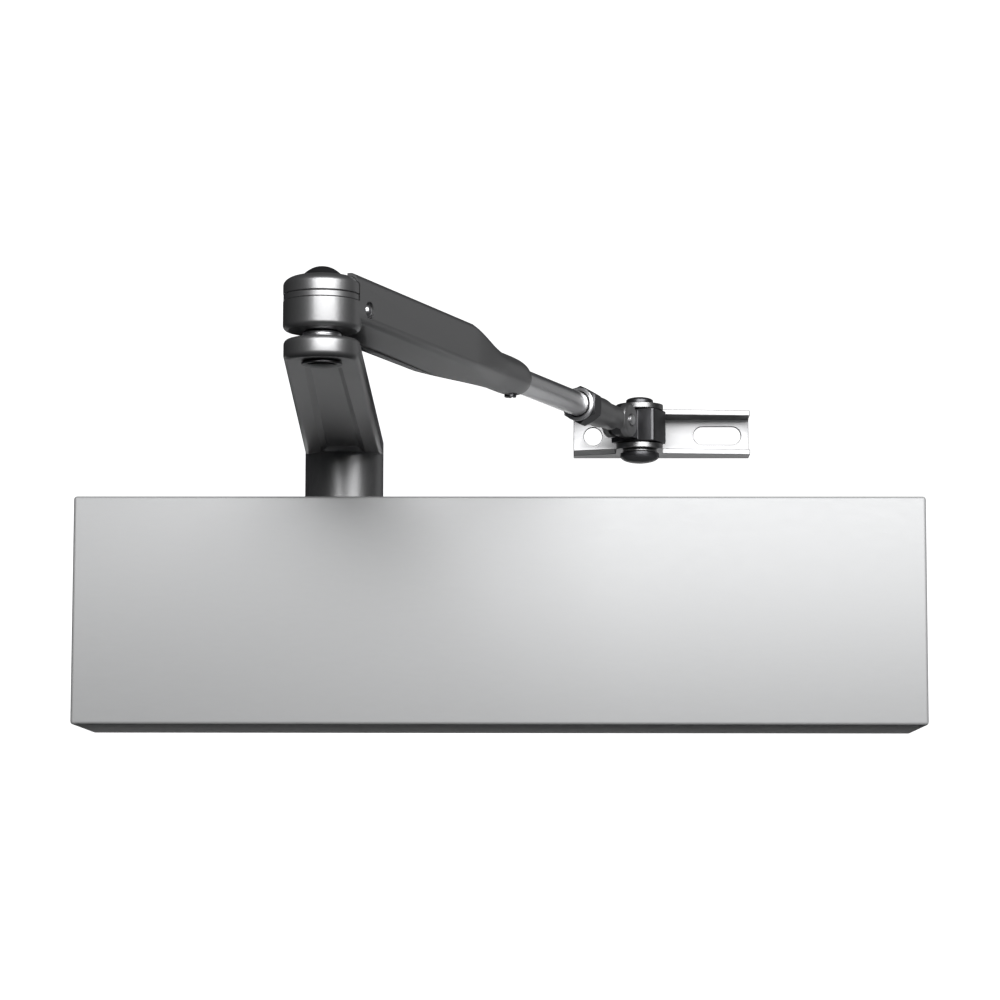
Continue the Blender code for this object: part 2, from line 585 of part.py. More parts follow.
def forearm_fittings(dark, bright, elbow, line):
    """The elbow's ring and domed cap, the side pin, and the clamp screw under the collar."""
    ring = washer(ELBOW_HOLE, KNUCKLE_RADIUS - GAP, KNUCKLE_TOP + GAP, RING_TOP, 32)
    add("elbow_ring", ring, dark, elbow)
    base, shoulder, round_off = RING_TOP + GAP, CAP_TOP - 3 * MM, 3.4 * MM
    dome = [(ELBOW_HOLE, base), (KNUCKLE_RADIUS - 0.5 * MM, base), (KNUCKLE_RADIUS, base + MM),
            (KNUCKLE_RADIUS, shoulder)]
    dome += arc((KNUCKLE_RADIUS - round_off, shoulder), round_off, 22, 60, 2)
    dome += [(6.2 * MM, CAP_TOP), (ELBOW_HOLE, CAP_TOP)]
    add("elbow_cap", turned(dome, 32, ring=True), dark, elbow)
    side_pin = rod(1.9 * MM, 8.2 * MM, SLEEVE_HALF_WIDTH + 0.5 * MM)
    piece = add("forearm_pin", side_pin, bright, line, SIDE_PIN_PLACE)
    piece.rotation_euler.x = math.radians(90)
    low = -COLLAR_RADIUS - 0.5 * MM
    screw = rod(2 * MM, low, -ROD_RADIUS - 0.5 * MM)
    piece = add("clamp_screw", screw, dark, line, (CLAMP_ALONG, 0, 0))
    slot = box((-3 * MM, -0.4 * MM, low - MM), (3 * MM, 0.4 * MM, low + 0.7 * MM))
    combine(piece, "DIFFERENCE", slot)


def adjusting_rod(bright, dark, line):
    """The rod that slides in the sleeve, its lock nut, and the forked rod end."""
    shaft = add("adjusting_rod", rod(ROD_RADIUS, ROD_START, ROD_END - 1.5 * MM, 24), bright, line)
    shaft.rotation_euler.y = math.radians(90)
    nut = add("lock_nut", hexagon(NUT_CORNER, NUT_START + 1.2 * MM, NUT_END), dark, line)
    nut.rotation_euler.y = math.radians(90)
    combine(nut, "UNION", rod(5.9 * MM, NUT_START, NUT_START + 2 * MM, 24))
    combine(nut, "DIFFERENCE", rod(ROD_HOLE + 0.05 * MM, NUT_START - MM, NUT_END + MM, 24))
    shank = [(0, NUT_END + GAP), (SHANK_RADIUS, NUT_END + GAP), (SHANK_RADIUS, NUT_END + 11 * MM),
             (NECK_RADIUS, NUT_END + 17 * MM), (NECK_RADIUS, CROSS_PIN_ALONG - 3 * MM),
             (0, CROSS_PIN_ALONG - 3 * MM)]
    end = add("rod_end", turned(shank, 24), dark, line)
    end.rotation_euler.y = math.radians(90)
    upright = ALONG_X.inverted()
    eye_place = upright @ moved(CROSS_PIN_ALONG, 0, 0) @ FACING_OUT
    combine(end, "UNION", placed(rod(EYE_RADIUS, -TINE_OUTER, TINE_OUTER, 24), eye_place))
    slot = box((CROSS_PIN_ALONG - 8 * MM, -TINE_INNER, -10 * MM),
               (CROSS_PIN_ALONG + 10 * MM, TINE_INNER, 10 * MM))
    combine(end, "DIFFERENCE", placed(slot, upright))
    pin_hole = placed(rod(CROSS_PIN_RADIUS + GAP, -8 * MM, 8 * MM), eye_place)
    combine(end, "DIFFERENCE", gathered(pin_hole, rod(ROD_HOLE, NUT_END - MM, ROD_END)))


def swivel(dark, bright, tilt):
    """The block that turns on the shoe's rivet, with a tongue for the rod's cross pin."""
    pivot = FOREARM_REACH - CROSS_PIN_ALONG * math.cos(FOREARM_DROP)
    centre = (SHOE_BOTTOM + SHOE_TOP) / 2 - tilt.matrix_world.translation.z
    half = (SHOE_TOP - SHOE_BOTTOM) / 2 - SHOE_WALL - GAP
    block = box((pivot - 7 * MM, -8.5 * MM, centre - half),
                (pivot + 5 * MM, 8.5 * MM, centre + half))
    bevelled(block, 0.8 * MM, 2, lambda edge: runs_along(edge, 2))
    piece = add("swivel_block", block, dark, tilt)
    tongue = arc((0, 0), TONGUE_RADIUS, 90, 270, 10)
    tongue += [(pivot, -TONGUE_RADIUS), (pivot, TONGUE_RADIUS)]
    tongue = prism(tongue, -TINE_INNER + GAP, TINE_INNER - GAP)
    combine(piece, "UNION", placed(tongue, FACING_OUT))
    pin_hole = placed(rod(CROSS_PIN_RADIUS + GAP, -4 * MM, 4 * MM), FACING_OUT)
    rivet_hole = placed(rod(RIVET_HOLE, -12 * MM, 12 * MM, 20), moved(pivot, 0, 0))
    combine(piece, "DIFFERENCE", gathered(pin_hole, rivet_hole))
    reach = TINE_OUTER + 0.8 * MM
    cross_pin = add("cross_pin", rod(CROSS_PIN_RADIUS, -reach, reach), bright, tilt)
    cross_pin.rotation_euler.x = math.radians(90)


def shoe(bright, dark, pivot):
    """A bent channel, fixed to the door frame, with ears that carry the rivet."""
    left, right = SHOE_LEFT - pivot.location.x, SHOE_RIGHT - pivot.location.x
    wall = -pivot.location.y
    outline = [(left, wall), (left, wall - 9 * MM), (-SHOE_EAR, wall - 14 * MM)]
    outline += arc((0, 0), SHOE_EAR, 180, 360, 14)
    outline += [(SHOE_EAR, wall - 15 * MM), (right, wall - 12 * MM), (right, wall)]
    channel = prism(outline, SHOE_BOTTOM, SHOE_TOP)
    piece = add("shoe_bracket", channel, bright, pivot)
    inner = box((left - MM, -40 * MM, SHOE_BOTTOM + SHOE_WALL),
                (right + MM, wall - SHOE_WALL, SHOE_TOP - SHOE_WALL))
    combine(piece, "DIFFERENCE", inner)
    hole_x, hole_z = SHOE_HOLE[0] - pivot.location.x, SHOE_HOLE[1]
    slot_x, slot_z = SHOE_SLOT[0] - pivot.location.x, SHOE_SLOT[1]
    hole = arc((hole_x, hole_z), SHOE_HOLE_RADIUS, 0, 345, 23)
    slot = arc((slot_x - SHOE_SLOT_HALF, slot_z), SHOE_HOLE_RADIUS, 90, 270, 12)
    slot += arc((slot_x + SHOE_SLOT_HALF, slot_z), SHOE_HOLE_RADIUS, -90, 90, 12)
    through = [placed(prism(shape, -wall - 2 * MM, -wall + 4 * MM), FACING_OUT)
               for shape in (hole, slot)]
    rivet_hole = rod(RIVET_HOLE, SHOE_BOTTOM - MM, SHOE_TOP + MM, 20)
    combine(piece, "DIFFERENCE", gathered(rivet_hole, *through))
    foot, head = SHOE_BOTTOM - 1.3 * MM, SHOE_TOP + GAP
    profile = [(0, foot - 3.6 * MM), (4.2 * MM, foot - 3.2 * MM), (6.4 * MM, foot - 2.2 * MM),
               (7 * MM, foot - 1.2 * MM), (7 * MM, foot), (RIVET_RADIUS, foot),
               (RIVET_RADIUS, head), (4.9 * MM, head),
               (4.9 * MM, head + 1.2 * MM), (3.4 * MM, head + 2.3 * MM), (0, head + 2.5 * MM)]
    add("shoe_rivet", turned(profile, 20), dark, pivot)
    add("shoe_washer", washer(RIVET_HOLE, 6.2 * MM, foot + GAP, SHOE_BOTTOM - GAP), dark, pivot)


def build():
    clear_scene()
    silver = finish("satin_aluminium", (0.62, 0.63, 0.64), 0.42, 0.9)
    cast = finish("cast_body", (0.35, 0.35, 0.36), 0.55, 0.6)
    dark = finish("dark_arm_metal", (0.09, 0.09, 0.095), 0.38, 0.75)
    zinc = finish("bright_zinc", (0.66, 0.66, 0.67), 0.28, 1.0)
    steel = finish("machined_steel", (0.42, 0.42, 0.43), 0.35, 1.0)
    brass = finish("bearing_brass", (0.62, 0.47, 0.2), 0.35, 1.0)
    rubber = finish("seal_rubber", (0.02, 0.02, 0.02), 0.8, 0.0)

    root = frame("closer", Matrix.Identity(4))
    spindle = frame("spindle_axis", moved(SPINDLE_X, SPINDLE_Y, 0), root)
    bore = frame("bore_axis", moved(0, SPINDLE_Y, 0) @ ALONG_X, root)
    arm = frame("arm_axis", Matrix.Rotation(ARM_YAW, 4, "Z"), spindle)
    outward = Vector((math.cos(ARM_YAW), math.sin(ARM_YAW), 0))
    elbow_place = Vector((SPINDLE_X, SPINDLE_Y, 0)) + ARM_LENGTH * outward
    forearm_turn = Matrix.Rotation(FOREARM_YAW, 4, "Z")
    elbow = frame("elbow_axis", Matrix.Translation(elbow_place) @ forearm_turn, root)
    slope = Matrix.Rotation(FOREARM_DROP, 4, "Y")
    line = frame("forearm_line", moved(0, 0, ELBOW_AXIS_HEIGHT) @ slope, elbow)
    ahead = Vector((math.cos(FOREARM_YAW), math.sin(FOREARM_YAW), 0))
    tilt_place = elbow_place + CROSS_PIN_ALONG * math.cos(FOREARM_DROP) * ahead
    tilt_place.z = ELBOW_AXIS_HEIGHT - CROSS_PIN_ALONG * math.sin(FOREARM_DROP)
    tilt = frame("tilt_axis", Matrix.Translation(tilt_place) @ forearm_turn, root)
    pivot = frame("shoe_axis", Matrix.Translation(elbow_place + FOREARM_REACH * ahead), root)
    bpy.context.view_layer.update()

    cover(silver, root)
    housing(cast, root)
    mounting_plate(steel, root)
    body_screws(steel, root)
    cover_clips(steel, root)
    valves(brass, root)
    end_caps(steel, rubber, bore)
    spindle_glands(steel, brass, rubber, spindle)
    pinion(steel, arm)
    piston(steel, rubber, brass, bore)
    spring(steel, bore)
    power_adjuster(steel, bore)
    main_arm(dark, arm)
    arm_fasteners(dark, zinc, arm, elbow)
    forearm_sleeve(dark, line)
    forearm_fittings(dark, zinc, elbow, line)
    adjusting_rod(zinc, dark, line)
    swivel(dark, zinc, tilt)
    shoe(zinc, dark, pivot)


build()
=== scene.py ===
"""A door closer as it is put together: body, cover, folding arm and frame shoe."""
import json
import math

import bmesh
import bpy
from mathutils import Matrix, Vector

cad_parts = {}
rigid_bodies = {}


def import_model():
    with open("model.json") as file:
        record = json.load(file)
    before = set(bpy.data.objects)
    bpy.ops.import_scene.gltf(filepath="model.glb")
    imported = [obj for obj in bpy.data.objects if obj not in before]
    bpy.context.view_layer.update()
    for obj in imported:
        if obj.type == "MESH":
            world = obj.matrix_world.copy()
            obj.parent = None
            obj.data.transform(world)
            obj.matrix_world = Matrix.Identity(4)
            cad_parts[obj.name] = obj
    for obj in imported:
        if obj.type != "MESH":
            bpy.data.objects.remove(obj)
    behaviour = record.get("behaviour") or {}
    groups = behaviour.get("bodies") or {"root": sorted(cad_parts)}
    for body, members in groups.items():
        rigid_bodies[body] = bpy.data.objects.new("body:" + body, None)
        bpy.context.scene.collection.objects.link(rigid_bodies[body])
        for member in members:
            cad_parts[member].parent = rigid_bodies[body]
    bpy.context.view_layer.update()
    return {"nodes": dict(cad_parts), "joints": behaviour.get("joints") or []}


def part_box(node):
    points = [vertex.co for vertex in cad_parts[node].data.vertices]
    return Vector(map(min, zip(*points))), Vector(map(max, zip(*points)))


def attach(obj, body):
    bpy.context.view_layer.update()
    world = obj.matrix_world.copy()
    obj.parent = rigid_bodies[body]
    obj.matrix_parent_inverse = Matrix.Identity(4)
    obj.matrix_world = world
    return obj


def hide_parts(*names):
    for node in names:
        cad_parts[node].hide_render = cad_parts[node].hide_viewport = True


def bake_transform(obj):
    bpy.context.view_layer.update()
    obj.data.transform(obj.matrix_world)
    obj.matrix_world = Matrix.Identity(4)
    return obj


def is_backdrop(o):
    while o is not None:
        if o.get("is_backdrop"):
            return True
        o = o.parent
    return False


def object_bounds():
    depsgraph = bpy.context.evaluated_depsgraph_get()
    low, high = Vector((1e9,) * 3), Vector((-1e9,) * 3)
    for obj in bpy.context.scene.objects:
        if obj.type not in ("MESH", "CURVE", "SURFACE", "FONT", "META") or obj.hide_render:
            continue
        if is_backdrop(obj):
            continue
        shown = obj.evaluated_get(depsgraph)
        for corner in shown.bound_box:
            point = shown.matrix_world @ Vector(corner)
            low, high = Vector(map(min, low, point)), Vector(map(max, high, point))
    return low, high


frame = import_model()
MM = 0.001


# ---- Studio ---------------------------------------------------------------
# A pale bowl stands round the closer, which hangs at its middle as on a door.
# One large soft light faces it from above. A low strip behind it lights the
# undersides, and a weak light at the right opens up the back.
CAMERA_PLACE = (0.01787, -1.23461, -0.10131)
CAMERA_TURN = (math.radians(96.799), math.radians(-0.111), math.radians(0.843))
LENS = 121.12
STAGE_RADIUS = 2.6
STAGE_FLOOR = -1.8
STAGE_TOP = 2.6
STAGE_SWEEP = 0.8

scene = bpy.context.scene
camera = bpy.data.objects.new("camera", bpy.data.cameras.new("camera"))
camera.location = CAMERA_PLACE
camera.rotation_euler = CAMERA_TURN
camera.data.lens = LENS
camera.data.sensor_width = 36
camera.data.clip_start = 0.05
scene.collection.objects.link(camera)
scene.camera = camera
scene.view_settings.view_transform = "Standard"

world = bpy.data.worlds.new("studio_air")
world.use_nodes = True
world.node_tree.nodes["Background"].inputs["Color"].default_value = (0.9, 0.93, 1.0, 1)
world.node_tree.nodes["Background"].inputs["Strength"].default_value = 0.025
scene.world = world


def soft_light(name, place, aim, width, height, power):
    lamp = bpy.data.lights.new(name, "AREA")
    lamp.shape = "RECTANGLE"
    lamp.size = width
    lamp.size_y = height
    lamp.energy = power
    holder = bpy.data.objects.new(name, lamp)
    holder.location = place
    holder.rotation_euler = (Vector(aim) - Vector(place)).to_track_quat("-Z", "Y").to_euler()
    holder.visible_camera = False
    scene.collection.objects.link(holder)


soft_light("front_softbox", (0.3, -1.5, 0.66), (0, -0.1, 0.05), 1.9, 1.1, 41)
soft_light("low_strip", (0, 1.5, -0.27), (0, -0.1, 0.06), 2.6, 0.22, 2.3)
soft_light("right_fill", (1.9, 1.4, 0.5), (0, -0.1, 0.06), 1.5, 1.5, 1.7)

bowl = bmesh.new()
flat_radius = STAGE_RADIUS - STAGE_SWEEP
sweep = [bowl.verts.new((0, 0, STAGE_FLOOR)), bowl.verts.new((flat_radius, 0, STAGE_FLOOR))]
for step in range(1, 9):
    turn = math.radians(90 * step / 8)
    sweep.append(bowl.verts.new((flat_radius + STAGE_SWEEP * math.sin(turn), 0,
                                 STAGE_FLOOR + STAGE_SWEEP - STAGE_SWEEP * math.cos(turn))))
sweep.append(bowl.verts.new((STAGE_RADIUS, 0, STAGE_TOP)))
edges = [bowl.edges.new(pair) for pair in zip(sweep, sweep[1:])]
bmesh.ops.spin(bowl, geom=sweep + edges, cent=(0, 0, 0), axis=(0, 0, 1), angle=2 * math.pi,
               steps=64, use_merge=True)
bmesh.ops.remove_doubles(bowl, verts=bowl.verts, dist=1e-5)
stage_mesh = bpy.data.meshes.new("studio_bowl")
bowl.to_mesh(stage_mesh)
bowl.free()
stage_mesh.shade_smooth()
stage = bpy.data.objects.new("studio_bowl", stage_mesh)
scene.collection.objects.link(stage)
paper = bpy.data.materials.new("pale_paper")
paper.use_nodes = True
sheet = paper.node_tree.nodes["Principled BSDF"]
sheet.inputs["Base Color"].default_value = (0.85, 0.85, 0.85, 1)
sheet.inputs["Roughness"].default_value = 0.9
sheet.inputs["Emission Color"].default_value = (1, 1, 1, 1)
sheet.inputs["Emission Strength"].default_value = 0.98
stage_mesh.materials.append(paper)
stage.visible_glossy = False
stage.visible_diffuse = False
stage.visible_shadow = False
stage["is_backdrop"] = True


# ---- Mounting plate -------------------------------------------------------
# A flat steel plate with rounded corners, screwed to the door first. Four holes
# are countersunk for its own screws and four are tapped for the body's.
PLATE_HOLES = [(x * MM, z * MM) for x in (-95, 95) for z in (-20, 20)]
BODY_HOLES = [(x * MM, z * MM) for x in (-133, 133) for z in (19, -19)]
SCREW_HOLE = 3.3 * MM
FACING_OUT = Matrix.Rotation(math.radians(90), 4, "X")
joints = {joint["name"]: joint for joint in frame["joints"]}


def grain_group():
    """Fine uneven colour, sheen and height from one stretched noise, with cloudy patches."""
    group = bpy.data.node_groups.new("Metal Grain", "ShaderNodeTree")
    face = group.interface
    face.new_socket("Color", in_out="INPUT", socket_type="NodeSocketColor")
    for name, value in (("Color Spread", 0.1), ("Scale", 300.0), ("Detail", 3.0), ("Cloud Scale", 40.0),
                        ("Cloud Spread", 0.1), ("Roughness", 0.4), ("Roughness Spread", 0.1),
                        ("Height", 0.0001)):
        face.new_socket(name, in_out="INPUT", socket_type="NodeSocketFloat").default_value = value
    face.new_socket("Stretch", in_out="INPUT", socket_type="NodeSocketVector").default_value = (1, 1, 1)
    face.new_socket("Color", in_out="OUTPUT", socket_type="NodeSocketColor")
    face.new_socket("Roughness", in_out="OUTPUT", socket_type="NodeSocketFloat")
    face.new_socket("Normal", in_out="OUTPUT", socket_type="NodeSocketVector")
    nodes, links = group.nodes, group.links
    start, end = nodes.new("NodeGroupInput"), nodes.new("NodeGroupOutput")
    place = nodes.new("ShaderNodeTexCoord")
    stretch = nodes.new("ShaderNodeVectorMath")
    stretch.operation = "MULTIPLY"
    noise, cloud = nodes.new("ShaderNodeTexNoise"), nodes.new("ShaderNodeTexNoise")
    cloud.inputs["Detail"].default_value = 2.0
    centred, drift, lift, tint, rough, patchy = [nodes.new("ShaderNodeMath") for _ in range(6)]
    centred.operation = drift.operation = "SUBTRACT"
    centred.inputs[1].default_value = drift.inputs[1].default_value = 0.5
    lift.operation = tint.operation = rough.operation = patchy.operation = "MULTIPLY_ADD"
    lift.inputs[2].default_value = 1.0
    shade = nodes.new("ShaderNodeVectorMath")
    shade.operation = "SCALE"
    bump = nodes.new("ShaderNodeBump")
    links.new(place.outputs["Object"], stretch.inputs[0])
    links.new(start.outputs["Stretch"], stretch.inputs[1])
    links.new(stretch.outputs["Vector"], noise.inputs["Vector"])
    links.new(place.outputs["Object"], cloud.inputs["Vector"])
    links.new(start.outputs["Scale"], noise.inputs["Scale"])
    links.new(start.outputs["Detail"], noise.inputs["Detail"])
    links.new(start.outputs["Cloud Scale"], cloud.inputs["Scale"])
    links.new(noise.outputs["Fac"], centred.inputs[0])
    links.new(cloud.outputs["Fac"], drift.inputs[0])
    for value, amount, result in ((centred, "Color Spread", lift), (drift, "Cloud Spread", tint),
                                  (centred, "Roughness Spread", rough), (drift, "Cloud Spread", patchy)):
        links.new(value.outputs[0], result.inputs[0])
        links.new(start.outputs[amount], result.inputs[1])
    links.new(lift.outputs[0], tint.inputs[2])
    links.new(start.outputs["Roughness"], rough.inputs[2])
    links.new(rough.outputs[0], patchy.inputs[2])
    links.new(start.outputs["Color"], shade.inputs[0])
    links.new(tint.outputs[0], shade.inputs["Scale"])
    links.new(noise.outputs["Fac"], bump.inputs["Height"])
    links.new(start.outputs["Height"], bump.inputs["Distance"])
    links.new(shade.outputs["Vector"], end.inputs["Color"])
    links.new(patchy.outputs[0], end.inputs["Roughness"])
    links.new(bump.outputs["Normal"], end.inputs["Normal"])
    return group


METAL_GRAIN = grain_group()


def metal(name, color, metallic, roughness, spread=0.1, sheen=0.1, cloud=0.06, scale=300,
          stretch=(1, 1, 1), height=0.02 * MM, cloud_scale=40):
    """A finish whose colour, sheen and height vary with the metal grain."""
    finish = bpy.data.materials.new(name)
    finish.use_nodes = True
    nodes, links = finish.node_tree.nodes, finish.node_tree.links
    shader = nodes["Principled BSDF"]
    shader.inputs["Metallic"].default_value = metallic
    grain = nodes.new("ShaderNodeGroup")
    grain.node_tree = METAL_GRAIN
    values = {"Color": (*color, 1), "Color Spread": spread, "Scale": scale, "Cloud Spread": cloud,
              "Cloud Scale": cloud_scale, "Roughness": roughness, "Roughness Spread": sheen,
              "Height": height, "Stretch": stretch}
    for socket, value in values.items():
        grain.inputs[socket].default_value = value
    for output, socket in (("Color", "Base Color"), ("Roughness", "Roughness"), ("Normal", "Normal")):
        links.new(grain.outputs[output], shader.inputs[socket])
    return finish


def piece(name, solid, finish, body, slot, *stands_for):
    """Makes an object of a solid. It rides on its body, if one is given, and stands for CAD nodes."""
    mesh = bpy.data.meshes.new(name)
    solid.to_mesh(mesh)
    solid.free()
    mesh.materials.append(finish)
    mesh.shade_smooth()
    mesh.set_sharp_from_angle(angle=math.radians(32))
    made = bpy.data.objects.new(name, mesh)
    scene.collection.objects.link(made)
    if body:
        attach(made, body)
    if stands_for:
        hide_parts(*stands_for)
    return made


def dress(finish, *names):
    """Gives a finish to CAD nodes whose shape is already right."""
    for name in names:
        materials = frame["nodes"][name].data.materials
        materials.clear()
        materials.append(finish)


def carve(solid, operation, *tools):
    """Joins tool solids to a solid, or cuts them from it, one after the other."""
    for tool in tools:
        pair = []
        for part in (solid, tool):
            mesh = bpy.data.meshes.new("carving")
            part.to_mesh(mesh)
            part.free()
            pair.append(bpy.data.objects.new("carving", mesh))
            scene.collection.objects.link(pair[-1])
        change = pair[0].modifiers.new("carve", "BOOLEAN")
        change.operation = operation
        change.object = pair[1]
        bpy.context.view_layer.update()
        carved = pair[0].evaluated_get(bpy.context.evaluated_depsgraph_get())
        result = bpy.data.meshes.new_from_object(carved)
        solid = bmesh.new()
        solid.from_mesh(result)
        for used in pair:
            bpy.data.objects.remove(used)
        bpy.data.meshes.remove(result)
    return solid


def soften(made, width, segments=3, angle=30):
    """Rounds a piece's edges with a live Bevel, and keeps its flats flat."""
    bevel = made.modifiers.new("soft_edges", "BEVEL")
    bevel.width = width
    bevel.segments = segments
    bevel.limit_method = "ANGLE"
    bevel.angle_limit = math.radians(angle)
    bevel.harden_normals = True
    return made


def block(low, high):
    """A box between two opposite corners."""
    solid = bmesh.new()
    bmesh.ops.create_cube(solid, size=1)
    low, high = Vector(low), Vector(high)
    bmesh.ops.scale(solid, vec=high - low, verts=solid.verts)
    bmesh.ops.translate(solid, vec=(low + high) / 2, verts=solid.verts)
    return solid


def slab(outline, bottom, top):
    """Extrudes an outline of (x, y) points along Z."""
    solid = bmesh.new()
    base = solid.faces.new([solid.verts.new((x, y, bottom)) for x, y in outline])
    grown = bmesh.ops.extrude_face_region(solid, geom=[base])["geom"]
    upper = [item for item in grown if isinstance(item, bmesh.types.BMVert)]
    bmesh.ops.translate(solid, vec=(0, 0, top - bottom), verts=upper)
    bmesh.ops.recalc_face_normals(solid, faces=solid.faces)
    return solid


def arc(centre, radius, start, end, steps):
    """Points on an arc, from one angle to another in degrees."""
    turns = [math.radians(start + (end - start) * step / steps) for step in range(steps + 1)]
    return [(centre[0] + radius * math.cos(a), centre[1] + radius * math.sin(a)) for a in turns]


def turned(profile, steps=96, ring=False):
    """Spins (radius, height) points about Z. A ring's profile stays off the axis."""
    solid = bmesh.new()
    points = [solid.verts.new((radius, 0, height)) for radius, height in profile]
    line = [solid.edges.new(pair) for pair in zip(points, points[1:])]
    if ring:
        line.append(solid.edges.new((points[-1], points[0])))
    bmesh.ops.spin(solid, geom=points + line, cent=(0, 0, 0), axis=(0, 0, 1), angle=2 * math.pi,
                   steps=steps, use_merge=True)
    bmesh.ops.remove_doubles(solid, verts=solid.verts, dist=1e-6)
    bmesh.ops.recalc_face_normals(solid, faces=solid.faces)
    return solid


def rod(radius, bottom, top, steps=64):
    """A round bar that stands along Z."""
    return turned([(0, bottom), (radius, bottom), (radius, top), (0, top)], steps)


def collar(inner, outer, bottom, top, steps=64):
    """A plain ring that stands along Z."""
    return turned([(inner, bottom), (outer, bottom), (outer, top), (inner, top)], steps, ring=True)


def hexagon(corner_radius, bottom, top):
    """A six-sided bar, for a nut or a key's socket."""
    return slab(arc((0, 0), corner_radius, 0, 300, 5), bottom, top)


def set_at(solid, place):
    """Moves a solid to its place and hands it back."""
    bmesh.ops.transform(solid, matrix=place, verts=solid.verts)
    return solid


def at(x, y, z):
    return Matrix.Translation((x, y, z))


def round_edges(solid, width, segments, pick):
    """Rounds the edges that a test picks."""
    bmesh.ops.bevel(solid, geom=[edge for edge in solid.edges if pick(edge)], offset=width,
                    segments=segments, profile=0.5, affect="EDGES", material=-1)
    return solid


def runs(edge, axis):
    """Whether an edge runs along an axis, 0 for X to 2 for Z."""
    return abs((edge.verts[1].co - edge.verts[0].co).normalized()[axis]) > 0.99


def gathered(*solids):
    """Several separate solids in one mesh, for a tool that cuts in several places."""
    result = bmesh.new()
    for solid in solids:
        mesh = bpy.data.meshes.new("gathering")
        solid.to_mesh(mesh)
        solid.free()
        result.from_mesh(mesh)
        bpy.data.meshes.remove(mesh)
    return result


plate_steel = metal("plate_steel", (0.42, 0.425, 0.43), 1.0, 0.38, spread=0.12, sheen=0.12, scale=700,
                    stretch=(0.08, 1, 1), height=0.008 * MM)
low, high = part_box("mounting_plate")
plate = round_edges(block(low, high), 4 * MM, 6, lambda edge: runs(edge, 1))
holes = [set_at(rod(SCREW_HOLE, -MM, 5 * MM, 32), at(x, 0, z) @ FACING_OUT) for x, z in BODY_HOLES]
sunk = [(0, -MM), (3.2 * MM, -MM), (3.2 * MM, 0.8 * MM), (6.4 * MM, 4 * MM), (0, 4 * MM)]
holes += [set_at(turned(sunk, 40), at(x, 0, z) @ FACING_OUT) for x, z in PLATE_HOLES]
plate = carve(plate, "DIFFERENCE", gathered(*holes))
soften(piece("door_plate", plate, plate_steel, "closer_body", "steel", "mounting_plate"), 0.3 * MM, 2)


# ---- Cover clips ----------------------------------------------------------
# Two bent spring-steel strips, spot-welded to the plate's ends. They bow outwards
# and press on the cover's end walls to hold it on.
dress(plate_steel, "cover_clip_left", "cover_clip_right")


# ---- Closer body ----------------------------------------------------------
# A die-cast aluminium block, bored through along its length and once upright.
# Its feet take four socket screws into the plate, and a boss carries the spindle.
BORE_Y = -29.4 * MM
BORE_RADIUS = 19.05 * MM
BOSS_RADIUS = 17 * MM
GLAND_RADIUS = 12.5 * MM
BODY_HALF = 124 * MM
FOOT_DEPTH = 10 * MM
ALONG_X = Matrix.Rotation(math.radians(90), 4, "Y")
VALVES = [joint for name, joint in joints.items()
          if name.endswith("_turn") and joint["parent"] == "closer_body"]
spindle = Vector(joints["spindle"]["pos_m"])

cast_grey = metal("cast_grey", (0.36, 0.36, 0.37), 0.7, 0.55, spread=0.25, sheen=0.15, scale=900,
                  height=0.05 * MM, cloud=0.14)
low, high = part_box("closer_housing")
body_half_height = 28 * MM
casting = block((-BODY_HALF, low.y, -body_half_height), (BODY_HALF, high.y, body_half_height))
round_edges(casting, 3 * MM, 5, lambda edge: runs(edge, 0) and edge.verts[0].co.y < -20 * MM)
feet = block((low.x, high.y - FOOT_DEPTH, -body_half_height), (high.x, high.y, body_half_height))
round_edges(feet, 2.5 * MM, 4, lambda edge: runs(edge, 1))
boss = set_at(rod(BOSS_RADIUS, low.z, high.z, 96), at(spindle.x, spindle.y, 0))
bore = set_at(rod(BORE_RADIUS, -0.2, 0.2, 96), at(0, BORE_Y, 0) @ ALONG_X)
gland = set_at(rod(GLAND_RADIUS, -0.1, 0.1, 64), at(spindle.x, spindle.y, 0))
holes = [set_at(rod(SCREW_HOLE, 0, 20 * MM, 32), at(x, 0, z) @ FACING_OUT) for x, z in BODY_HOLES]
for valve in VALVES:
    x, y, z = valve["pos_m"]
    holes.append(set_at(rod(3.5 * MM, -17 * MM, 17 * MM, 32), at(x, low.y, z) @ FACING_OUT))
casting = carve(carve(casting, "UNION", feet, boss), "DIFFERENCE", bore, gland, gathered(*holes))
soften(piece("cast_body", casting, cast_grey, "closer_body", "cast", "closer_housing"), 0.5 * MM, 2, 40)


# ---- Body screws ----------------------------------------------------------
# Four zinc-plated steel socket screws with plain round heads. They hold the
# body's feet down on the mounting plate.
screw_zinc = metal("screw_zinc", (0.55, 0.55, 0.56), 1.0, 0.3, spread=0.12, sheen=0.1, scale=900,
                   height=0.01 * MM)
for number, (x, z) in enumerate(BODY_HOLES, start=1):
    low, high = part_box("body_screw_%d" % number)
    tip, seat, top = -high.y, -low.y - 5 * MM, -low.y
    shape = [(0, tip), (2.4 * MM, tip), (3 * MM, tip + 0.8 * MM), (3 * MM, seat), (5 * MM, seat),
             (5 * MM, top - 0.5 * MM), (4.6 * MM, top), (0, top)]
    screw = carve(turned(shape, 48), "DIFFERENCE", hexagon(2.8 * MM, top - 3 * MM, top + MM))
    set_at(screw, at(x, 0, z) @ FACING_OUT)
    made = piece("socket_screw_%d" % number, screw, screw_zinc, "closer_body", "steel",
                 "body_screw_%d" % number)
    soften(made, 0.15 * MM, 2)


